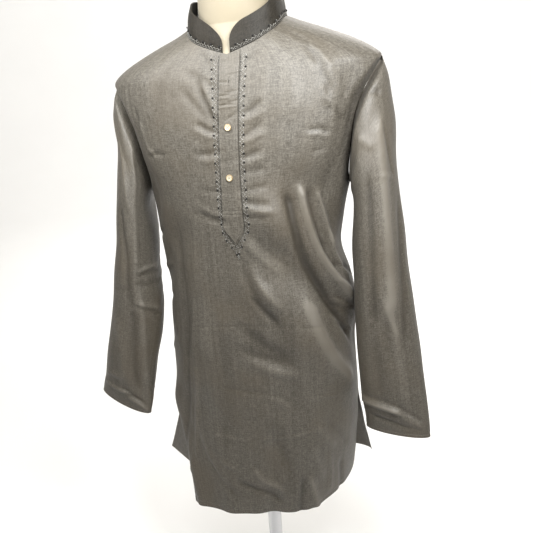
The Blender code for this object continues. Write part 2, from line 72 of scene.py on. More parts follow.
camera = bpy.data.objects.new("camera", bpy.data.cameras.new("camera"))
camera.matrix_world = Matrix.Translation(LOOKS_AT + back * CAMERA_DISTANCE) @ Matrix(
    (right, up, back)).transposed().to_4x4()
camera.data.sensor_width = SENSOR
camera.data.lens = SENSOR * FOCAL_PIXELS / FRAME_PIXELS
camera.data.shift_x = (FRAME_PIXELS / 2 - CENTRE_PIXELS[0]) / FRAME_PIXELS
camera.data.shift_y = (CENTRE_PIXELS[1] - FRAME_PIXELS / 2) / FRAME_PIXELS
bpy.context.scene.collection.objects.link(camera)
bpy.context.scene.camera = camera
print("camera at", [round(c, 3) for c in camera.location], "lens", round(camera.data.lens, 1))

# %% The lights
CHEST = (0.03, -0.08, 0.95)
LIGHTS = (
    # name, place, aim, size, watts, colour
    ("key_panel", (0.43, -0.56, 1.46), CHEST, 0.30, 14.5, (0.98, 0.99, 1.0)),
    ("top_panel", (-0.02, -0.48, 1.50), CHEST, 0.30, 4.2, (0.94, 0.98, 1.0)),
    ("side_panel", (-0.30, -0.29, 1.42), CHEST, 0.30, 3.6, (0.98, 0.99, 1.0)),
    ("rear_light", (0.40, 1.50, 1.90), CHEST, 0.80, 16.0, (1.0, 0.97, 0.92)),
    ("wall_light", (-0.2, 1.6, 2.8), (-0.5, 4.2, 0.0), 1.5, 110.0, (1.0, 1.0, 1.0)),
)
for name, place, aim, size, watts, tint in LIGHTS:
    light = bpy.data.lights.new(name, "AREA")
    light.size, light.energy, light.color = size, watts, tint
    lamp = bpy.data.objects.new(name, light)
    away = (Vector(place) - Vector(aim)).to_track_quat("Z", "Y")
    lamp.matrix_world = Matrix.Translation(place) @ away.to_matrix().to_4x4()
    lamp.visible_camera = False
    bpy.context.scene.collection.objects.link(lamp)

sky = bpy.data.worlds.new("studio")
sky.use_nodes = True
sky_light = sky.node_tree.nodes["Background"].inputs
sky_light["Color"].default_value = (1.0, 0.89, 0.72, 1.0)
sky_light["Strength"].default_value = 0.28
bpy.context.scene.world = sky
bpy.context.scene.view_settings.view_transform = "Standard"
print("lights:", len(LIGHTS))

# %% [markdown]
# ## Materials as sums
# A shader is easier to read as a sum than as a web of nodes. The class below holds one socket, and
# each operator on it adds a Math node. Every other node comes from its one method `node`.

# %% A socket that can be added and multiplied
class Shade:
    """One socket of a material's node tree."""

    def __init__(self, tree, socket):
        self.tree, self.socket = tree, socket

    @staticmethod
    def node(tree, kind, settings=None, values=None, out=0):
        """Add a node: its settings first, then the values or links of its sockets."""
        made = tree.nodes.new(kind)
        for name, value in (settings or {}).items():
            setattr(made, name, value)
        for name, value in (values or {}).items():
            if isinstance(value, Shade):
                tree.links.new(value.socket, made.inputs[name])
            else:
                made.inputs[name].default_value = value
        return Shade(tree, made.outputs[out])

    def math(self, operation, first, second):
        return Shade.node(self.tree, "ShaderNodeMath", {"operation": operation}, {
            0: first, 1: second})

    def __add__(self, other):
        return self.math("ADD", self, other)

    def __sub__(self, other):
        return self.math("SUBTRACT", self, other)

    def __rsub__(self, other):
        return self.math("SUBTRACT", other, self)

    def __mul__(self, other):
        return self.math("MULTIPLY", self, other)

    __radd__, __rmul__ = __add__, __mul__

    def noise(self, *factors, detail=3.0, rough=0.6):
        """Noise about 0.5 in the middle. One factor scales all three axes."""
        scale = factors * 3 if len(factors) == 1 else factors
        place = Shade.node(self.tree, "ShaderNodeVectorMath", {"operation": "MULTIPLY"}, {
            0: self, 1: scale})
        return Shade.node(self.tree, "ShaderNodeTexNoise", {}, {
            "Vector": place, "Scale": 1.0, "Detail": detail, "Roughness": rough})

    def between(self, low, high):
        """0 below low, 1 above high, smooth in between."""
        return Shade.node(self.tree, "ShaderNodeMapRange", {"interpolation_type": "SMOOTHSTEP"}, {
            "Value": self, "From Min": low, "From Max": high})

    def mix(self, first, second):
        """The first colour where this is 0, the second where it is 1."""
        tones = [(*tone, 1.0) if isinstance(tone, tuple) else tone for tone in (first, second)]
        return Shade.node(self.tree, "ShaderNodeMix", {"data_type": "RGBA"}, {
            0: self, 6: tones[0], 7: tones[1]}, out=2)

    def bump(self, metres, strength, normal=None):
        """The relief of a height of 0 to 1 that stands for so many metres."""
        under = {"Normal": normal} if normal else {}
        return Shade.node(self.tree, "ShaderNodeBump", {}, {
            "Height": self, "Distance": metres, "Strength": strength, **under})


print("Shade is ready")

# %% Start and dress a material
def start(name, out="Object"):
    """A new material, its principled shader, and the place of each point."""
    made = bpy.data.materials.new(name)
    made.use_nodes = True
    place = Shade.node(made.node_tree, "ShaderNodeTexCoord", out=out)
    return made, made.node_tree.nodes["Principled BSDF"], place


def attribute(shade, name):
    return Shade.node(shade.tree, "ShaderNodeAttribute", {"attribute_name": name}, out=2)


def dress(shader, base, rough, relief=None, **numbers):
    """Link what varies over the surface, and set the numbers that are the same all over."""
    for socket, shade in (("Base Color", base), ("Roughness", rough), ("Normal", relief)):
        if shade:
            shade.tree.links.new(shade.socket, shader.inputs[socket])
    for name, value in numbers.items():
        shader.inputs[name.replace("_", " ").title().replace("Ior", "IOR")].default_value = value


print("material helpers are ready")

# %% [markdown]
# ## Grey chambray
# Chambray is woven from dark warp and pale weft threads of uneven thickness, so it is mottled with
# short streaks both ways and shimmers a little. The streaks follow the cloth, so they are laid out
# on each piece's own UV map, which is in metres of cloth. The attribute `rise` that each panel
# carries paints a highlight onto the ridges and shade into the hollows, which real chambray does
# not have: it makes the folds easier to see. The collar's cotton is a darker copy, with shade
# painted into its colour.

# %% The cotton
# Painted shade: the near black brown that the hollows of the creases are darkened towards.
PAINTED_SHADE_TONE = (0.014, 0.011, 0.007)


def chambray(name, dark, light, brown, gloss):
    made, shader, cloth = start(name, "UV")
    warp = cloth.noise(620.0, 110.0, 1.0)
    weft = cloth.noise(90.0, 560.0, 1.0)
    fleck = cloth.noise(520.0, 480.0, 1.0, rough=0.7)
    slub = cloth.noise(230.0, 5.0, 1.0, detail=2.0, rough=0.5)
    blotch = cloth.noise(9.0, 6.0, 1.0, rough=0.55)
    crumple = cloth.noise(30.0, 24.0, 1.0, detail=4.0, rough=0.55)
    thread = cloth.noise(1500.0, 1500.0, 1.0, detail=1.0, rough=0.5)
    streaks = warp * 0.24 + weft * 0.26 + fleck * 0.38 + slub * 0.12
    rise = attribute(cloth, "rise")
    # Painted highlight: the streaks on the ridges are made paler by their rise, and those in the
    # hollows darker.
    streaks_and_painted_highlight = streaks + rise * 0.08 + rise.between(0.4, 1.1) * 0.16
    body = streaks_and_painted_highlight.between(0.37, 0.67).mix(dark, light)
    tinted = (blotch.between(0.42, 0.66) * 0.45).mix(body, brown)
    # Painted shade: the hollows are darkened by their depth.
    hollow = (0.0 - rise).between(0.15, 1.1) * 0.6
    dress(shader, hollow.mix(tinted, PAINTED_SHADE_TONE), 0.50 + streaks * 0.16,
          (streaks * 0.6 + thread * 0.4).bump(0.0003, 0.6, crumple.bump(0.0035, 0.5)),
          sheen_weight=0.04, sheen_roughness=0.4, sheen_tint=(0.95, 0.93, 0.90, 1.0),
          specular_ior_level=gloss)
    return made


grey_cotton = chambray("grey_cotton", (0.029, 0.0238, 0.0160), (0.134, 0.121, 0.100),
                       (0.066, 0.052, 0.034), 0.55)
# A darker, less glossy copy of the cotton for the collar: shade painted into its colour.
shaded_band_cotton = chambray("grey_cotton_band", (0.006, 0.0048, 0.003), (0.030, 0.026, 0.020),
                       (0.015, 0.011, 0.006), 0.16)
print("cottons:", grey_cotton.name, shaded_band_cotton.name)

# %% [markdown]
# ## Jersey, steel, shell and threads
# The form is covered with cream jersey, the stand is brushed steel, and the buttons are cream
# shell with a tan rim. The border is worked in silver and black thread with glass beads.

# %% The other finishes
def jersey(name, pale, warm):
    made, shader, place = start(name)
    patches = place.noise(7.0, rough=0.5)
    knit = place.noise(900.0, 900.0, 500.0, detail=2.0)
    dress(shader, patches.between(0.35, 0.7).mix(pale, warm), 0.5 + knit * 0.2,
          knit.bump(0.0002, 0.4, patches.bump(0.002, 0.3)), sheen_weight=0.15)
    return made


def steel(name, tone):
    made, shader, place = start(name)
    brushed = place.noise(60.0, 60.0, 1800.0)
    smears = place.noise(14.0, detail=2.0, rough=0.5)
    dress(shader, brushed.mix(tuple(0.8 * part for part in tone), tone),
          0.24 + brushed * 0.12 + smears * 0.12, brushed.bump(0.00005, 0.4), metallic=1.0)
    return made


def bead(name, deep, bright, rough, metal=0.0, coat=0.0, gloss=0.5):
    """Glass or thread: one tone that varies finely from bead to bead."""
    made, shader, place = start(name)
    varied = place.noise(260.0, detail=2.0)
    dress(shader, varied.between(0.3, 0.7).mix(deep, bright), rough + varied * 0.15,
          place.noise(2200.0, detail=1.0, rough=0.5).bump(0.0001, 0.35),
          metallic=metal, coat_weight=coat, specular_ior_level=gloss)
    return made


def shell(name):
    """Cream in the middle and tan at the rim, measured from each button's own centre."""
    made, shader, place = start(name)
    cloud = place.noise(420.0)
    face = cloud.between(0.3, 0.7).mix((0.41, 0.36, 0.255), (0.46, 0.42, 0.32))
    dress(shader, attribute(place, "rim").between(0.55, 0.95).mix(face, (0.23, 0.16, 0.075)),
          0.22 + cloud * 0.12, cloud.bump(0.0001, 0.3), coat_weight=0.4)
    return made


cream_form = jersey("cream_form", (0.25, 0.215, 0.152), (0.22, 0.185, 0.125))
brushed_steel = steel("brushed_steel", (0.60, 0.60, 0.61))
silver_thread = bead("silver_thread", (0.09, 0.085, 0.074), (0.27, 0.26, 0.235), 0.40, metal=0.3)
dark_thread = bead("dark_thread", (0.010, 0.009, 0.007), (0.035, 0.031, 0.025), 0.5, gloss=0.3)
seam_thread = bead("seam_thread", (0.115, 0.103, 0.083), (0.20, 0.185, 0.160), 0.55)
black_glass = bead("black_glass", (0.002, 0.002, 0.002), (0.006, 0.006, 0.006), 0.45, gloss=0.2)
white_glass = bead("white_glass", (0.28, 0.28, 0.26), (0.42, 0.42, 0.40), 0.30, coat=0.1)
cream_button = shell("cream_button")
print("finishes:", len(bpy.data.materials))

# %% [markdown]
# ## How the cloth hangs
# The body hangs as an oval tube whose half widths and depths change with height. A point on it is
# given by an angle, 0 at the centre front and 90 at the wearer's left side seam, and a height. The
# tables are in metres and are the part's own.

# %% The body's sizes
HEM, SLIT_TOP, ARMPIT, SHOULDER = 0.358, 0.565, 0.965, 1.150
NECK_SIDE, NECK_FRONT, NECK_BACK = 1.222, 1.181, 1.206
SHOULDER_TILT, TILT_FROM = 0.062, 0.800
ARMHOLE_DEPTH = 0.055
BODY = (
    ("height", "half_right", "half_left", "seam_right", "seam_left", "front", "back"),
    (0.358, 0.19, 0.165, -0.004, 0.05, -0.13, 0.134),
    (0.45, 0.182, 0.174, -0.002, 0.034, -0.125, 0.13),
    (0.53, 0.175, 0.178, 0, 0.02, -0.121, 0.124), (0.62, 0.172, 0.177, 0, 0.012, -0.119, 0.117),
    (0.72, 0.167, 0.175, 0, 0.006, -0.119, 0.107), (0.8, 0.166, 0.168, 0, 0.003, -0.119, 0.099),
    (0.87, 0.167, 0.157, 0, 0, -0.12, 0.097), (0.965, 0.173, 0.169, 0, 0, -0.122, 0.103),
    (1.035, 0.198, 0.199, 0, 0, -0.118, 0.108), (1.1, 0.215, 0.216, 0, 0, -0.108, 0.104),
    (1.15, 0.219, 0.221, 0, 0, -0.095, 0.092), (1.167, 0.203, 0.202, 0, 0, -0.089, 0.085),
    (1.183, 0.171, 0.172, 0, 0, -0.083, 0.08), (1.197, 0.136, 0.139, 0, 0, -0.077, 0.074),
    (1.21, 0.102, 0.105, 0, 0, -0.07, 0.067), (1.222, 0.076, 0.076, 0, 0, -0.062, 0.058),
)
SLIT_SWING = {
    ("front", -1): (0.061, -0.104, 0.0, 0.0),
    ("front", 1): (0.000, 0.010, 0.0, 0.0),
    ("back", -1): (-0.049, 0.056, 0.060, -0.048),
    ("back", 1): (0.034, 0.050, 0.0, 0.0),
}
FLAP_ANGLE = 18.0
SLIT_CURVE = 1.4
print("rows of the body's table:", len(BODY) - 1)

# %% The body's large folds
FOLD_FADE = 1.6                  # a fold fades past its ends over this many widths
FOLDS = (
    # from an angle and a height to an angle and a height, then width and rise
    (22, 0.93, 80, 0.77, 0.032, 0.011), (40, 0.975, 88, 0.865, 0.028, -0.006),
    (16, 0.8, 68, 0.61, 0.034, 0.009), (30, 0.86, 84, 0.69, 0.03, -0.007),
    (54, 1.11, 58, 0.99, 0.024, -0.006), (-54, 1.06, -60, 0.96, 0.024, -0.005),
    (-40, 0.9, -80, 0.77, 0.03, -0.006), (-30, 0.7, -62, 0.56, 0.034, 0.006),
    (-62, 0.56, -58, 0.35, 0.028, 0.006), (13, 0.5, 10.5, 0.34, 0.024, -0.01),
    (40, 0.56, 36, 0.34, 0.032, 0.005), (-20, 0.48, -22, 0.34, 0.03, 0.006),
    (152, 0.93, 112, 0.78, 0.034, 0.008), (-152, 0.92, -110, 0.76, 0.034, 0.008),
    (168, 0.8, 146, 0.6, 0.034, -0.007), (-168, 0.78, -140, 0.62, 0.034, -0.007),
    (-172, 0.56, -170, 0.35, 0.034, 0.009), (140, 0.52, 136, 0.35, 0.032, -0.009),
    (-140, 0.52, -136, 0.35, 0.032, -0.009),
)
print("large folds:", len(FOLDS))

# %% Reading a table on a smooth curve
def column(table, name, at):
    """Read a column at any values of the table's first column, on a smooth curve."""
    names, *rows = table
    rows = np.array(rows)
    keys, values = rows[:, 0], rows[:, names.index(name)]
    at = np.clip(at, keys[0], keys[-1])
    low = np.clip(np.searchsorted(keys, at, side="right") - 1, 0, len(keys) - 2)
    here = np.arange(len(keys))
    before, after = np.maximum(here - 1, 0), np.minimum(here + 1, len(keys) - 1)
    slopes = (values[after] - values[before]) / (keys[after] - keys[before])
    span = keys[low + 1] - keys[low]
    t = (at - keys[low]) / span
    return (values[low] * (2 * t**3 - 3 * t**2 + 1) + values[low + 1] * (3 * t**2 - 2 * t**3)
            + slopes[low] * span * (t**3 - 2 * t**2 + t) + slopes[low + 1] * span * (t**3 - t**2))


def smooth(t):
    t = np.clip(t, 0.0, 1.0)
    return t * t * (3 - 2 * t)


def unit(v):
    return v / np.linalg.norm(v, axis=-1, keepdims=True)


def lengths(points):
    """How far each point of a row is along it."""
    return np.concatenate([[0.0], np.cumsum(np.linalg.norm(np.diff(points, axis=0), axis=1))])


def follow(at, run, points):
    """Points at given lengths along a row of points."""
    return np.stack([np.interp(at, run, values) for values in points.T], -1)


def ridge(across, up, dx, dz, bow, width, rise, fade):
    """Rise of one soft ridge at points measured from its first end. Its other end is at dx, dz."""
    length = np.hypot(dx, dz)
    run = (across * dx + up * dz) / length
    share = np.clip(run / length, 0.0, 1.0)
    aside = (across * dz - up * dx) / length - bow * 4.0 * share * (1.0 - share)
    past = np.maximum(np.maximum(-run, run - length), 0.0)
    return rise * np.exp(-(aside / width) ** 2 - (past / (fade * width)) ** 2)


print("smooth step at a quarter:", smooth(0.25))

# %% A point of the body
def body(name, height):
    return column(BODY, name, height)


def half_width(left, height):
    return np.where(left, body("half_left", height), body("half_right", height))


def below_slit(height):
    return np.clip((SLIT_TOP - height) / (SLIT_TOP - HEM), 0.0, None) ** SLIT_CURVE


def tilted(points):
    raised = np.array(points)
    share = smooth((raised[..., 2] - TILT_FROM) / (SHOULDER - TILT_FROM))
    raised[..., 2] += SHOULDER_TILT * share * raised[..., 0]
    return raised


def reach(height):
    return 0.5 * (body("half_right", height) + body("half_left", height))


def fold_rise(angle, height):
    radius = reach(height)
    return sum(ridge(np.radians(angle - angle0) * radius, height - height0,
                     np.radians(angle1 - angle0) * radius, height1 - height0,
                     0.0, width, rise, FOLD_FADE)
               for angle0, height0, angle1, height1, width, rise in FOLDS)


def body_point(panel, angle, height, rise=0.0):
    angle, height = np.broadcast_arrays(np.asarray(angle, float), np.asarray(height, float))
    turn = np.radians(angle)
    left = angle >= 0
    outward = np.where(left, 1.0, -1.0)
    swing = np.where(left[..., None], SLIT_SWING[panel, 1], SLIT_SWING[panel, -1])
    below = below_slit(height)
    half = half_width(left, height) + outward * swing[..., 0] * below
    seam = np.where(left, body("seam_left", height), body("seam_right", height))
    seam = seam + swing[..., 1] * below
    middle = np.where(np.abs(angle) <= 90.0, body("front", height), body("back", height))
    rise = fold_rise(angle, height) + rise
    x = (half + rise) * np.sin(turn)
    y = seam + (middle - seam) * np.abs(np.cos(turn)) - rise * np.cos(turn)
    from_middle = np.abs(round_angle(panel, angle))
    share = np.clip(from_middle - 90.0, 0.0, None) / FLAP_ANGLE
    flap = (swing[..., 2] != 0.0) & (from_middle > 90.0) & (height < SLIT_TOP)
    x = np.where(flap, outward * half + swing[..., 2] * below * share, x)
    y = np.where(flap, seam + swing[..., 3] * below * share, y)
    return tilted(np.stack([x, y, height], -1))


def round_angle(panel, angle):
    """The angle round the whole body of one from a panel's own middle, or back again."""
    return angle if panel == "front" else np.copysign(180.0, angle) - angle


def edge_angle(panel, side, height):
    """Angle from a panel's middle to its edge, on one side or on each point's own side."""
    from_centre = np.clip(2 * (height - ARMPIT) / (SHOULDER - ARMPIT) - 1, -1.0, 1.0)
    deep = ARMHOLE_DEPTH * np.sqrt(1 - from_centre ** 2)
    angle = np.degrees(np.arccos(deep / np.abs(body(panel, height))))
    flap = np.where(np.asarray(side) < 0, SLIT_SWING[panel, -1][2], SLIT_SWING[panel, 1][2]) != 0
    return np.where((height < SLIT_TOP) & flap, 90.0 + FLAP_ANGLE, angle)


def neckline(panel, angle):
    low = NECK_FRONT if panel == "front" else NECK_BACK
    return low + (NECK_SIDE - low) * (1.0 - (1.0 - np.minimum(np.abs(angle) / 90.0, 1.0)) ** 2)


print("centre front at the chest:", body_point("front", 0.0, 1.035).round(3))

# %% [markdown]
# ## How the sleeves hang
# A sleeve leaves the armhole's curved edge and turns into a flattened tube. Each row gives the
# outer and the inner point of a ring, half its depth, and how far it has become an oval. Side 1 is
# the wearer's left and -1 the right.

# %% The sleeves' rings
SLEEVES = {
    1: (
        (0.231, -0.003, 1.118, 0.176, -0.003, 0.96, 0.062, 0.2),
        (0.237, -0.006, 1.078, 0.1795, -0.006, 0.953, 0.066, 0.45),
        (0.2415, -0.01, 1.034, 0.1805, -0.01, 0.943, 0.069, 0.7),
        (0.2462, -0.014, 0.985, 0.1785, -0.014, 0.92, 0.069, 0.88),
        (0.253, -0.019, 0.932, 0.1765, -0.018, 0.885, 0.067, 1),
        (0.262, -0.026, 0.877, 0.1765, -0.023, 0.84, 0.064, 1),
        (0.271, -0.034, 0.82, 0.1785, -0.028, 0.79, 0.06, 1),
        (0.28, -0.043, 0.763, 0.1815, -0.033, 0.739, 0.055, 1),
        (0.2895, -0.053, 0.706, 0.1845, -0.038, 0.687, 0.049, 1),
        (0.2985, -0.064, 0.65, 0.1885, -0.043, 0.634, 0.042, 1),
        (0.3065, -0.075, 0.596, 0.1945, -0.047, 0.58, 0.034, 1),
        (0.3115, -0.084, 0.566, 0.1995, -0.05, 0.552, 0.028, 1),
        (0.3145, -0.092, 0.54, 0.201, -0.052, 0.528, 0.022, 1),
    ),
    -1: (
        (-0.224, -0.003, 1.116, -0.179, -0.003, 0.96, 0.062, 0.2),
        (-0.2258, -0.006, 1.076, -0.1825, -0.006, 0.951, 0.066, 0.45),
        (-0.228, -0.01, 1.032, -0.1835, -0.01, 0.934, 0.069, 0.7),
        (-0.232, -0.014, 0.983, -0.181, -0.014, 0.908, 0.069, 0.88),
        (-0.2388, -0.018, 0.93, -0.1795, -0.018, 0.876, 0.067, 1),
        (-0.2465, -0.022, 0.875, -0.18, -0.022, 0.836, 0.064, 1),
        (-0.256, -0.026, 0.819, -0.1815, -0.028, 0.79, 0.06, 1),
        (-0.2668, -0.03, 0.763, -0.179, -0.036, 0.74, 0.056, 1),
        (-0.2785, -0.034, 0.709, -0.185, -0.046, 0.691, 0.05, 1),
        (-0.2912, -0.038, 0.657, -0.1965, -0.058, 0.642, 0.043, 1),
        (-0.3052, -0.04, 0.608, -0.204, -0.07, 0.59, 0.035, 1),
        (-0.314, -0.041, 0.582, -0.2065, -0.077, 0.562, 0.028, 1),
        (-0.3208, -0.042, 0.561, -0.2105, -0.083, 0.538, 0.021, 1),
    ),
}
CUFF = 13                        # the ring at the cuff; ring 0 is the armhole
print("rings in a sleeve:", len(SLEEVES[1]))

# %% A point of a sleeve
def armhole(side, turn):
    """Points of the armhole's edge: turn 0 is the shoulder, 90 the front, 180 the armpit."""
    height = ARMPIT + (SHOULDER - ARMPIT) * (0.5 + 0.5 * np.cos(np.radians(turn)))
    edges = {panel: side * edge_angle(panel, side, height) for panel in ("front", "back")}
    front, back = (body_point(panel, round_angle(panel, edges[panel]), height) for panel in edges)
    return np.where((np.mod(turn, 360) < 180)[..., None], front, back)


def sleeve_rings(side):
    """The rings as a table, with the armhole as ring 0."""
    top, bottom = (body_point("front", side * 90.0, height) for height in (SHOULDER, ARMPIT))
    names = ("ring", "high_x", "high_y", "high_z", "low_x", "low_y", "low_z", "depth", "oval")
    rows = [(number, *tilted(row[0:3]), *tilted(row[3:6]), *row[6:])
            for number, row in enumerate(SLEEVES[side], 1)]
    return names, (0, *top, *bottom, ARMHOLE_DEPTH, 0.0), *rows


RINGS = {side: sleeve_rings(side) for side in SLEEVES}


def sleeve_frames(side, at):
    high, low = (np.stack([column(RINGS[side], f"{end}_{axis}", at) for axis in "xyz"], -1)
                 for end in ("high", "low"))
    depth, oval = (column(RINGS[side], name, at) for name in ("depth", "oval"))
    return high, low, depth, np.clip(oval, 0, 1)


def sleeve_point(side, turn, at):
    """Outer face of a sleeve: turn as for the armhole, at counts rings from 0 to 13."""
    turn, at = np.broadcast_arrays(np.asarray(turn, float), np.asarray(at, float))

    def basis(at):
        high, low, depth, oval = sleeve_frames(side, at)
        centre, across = (high + low) / 2, (high - low) / 2
        after, before = (sleeve_frames(side, at + step) for step in (0.5, -0.5))
        axis = (after[0] + after[1]) / 2 - (before[0] + before[1]) / 2
        front = unit(np.cross(axis, across)) * depth[..., None] * side
        return centre, across, front, unit(np.cross(across, front)), oval

    centre, across, front, out, _ = basis(np.zeros_like(at))
    start = armhole(side, turn) - centre
    a = (start * across).sum(-1) / (across ** 2).sum(-1)
    b = (start * front).sum(-1) / (front ** 2).sum(-1)
    c = (start * out).sum(-1)
    centre, across, front, out, oval = basis(at)
    a = a + (np.cos(np.radians(turn)) - a) * oval
    b = b + (np.sin(np.radians(turn)) - b) * oval
    c = c * (1 - oval)
    return centre + across * a[..., None] + front * b[..., None] + out * c[..., None]


print("left cuff:", sleeve_point(1, 0.0, CUFF).round(3))

# %% [markdown]
# ## Creases
# Fine creases lie on the large folds: drag lines from the placket and the armholes, puckers at
# the side seams, and lines pressed in when the shirt was folded. Each is a soft ridge or trough,
# so it is placed by its two ends, how far it bows, its width and its rise, all in millimetres but
# the ends. Hidden sides have similar ones.

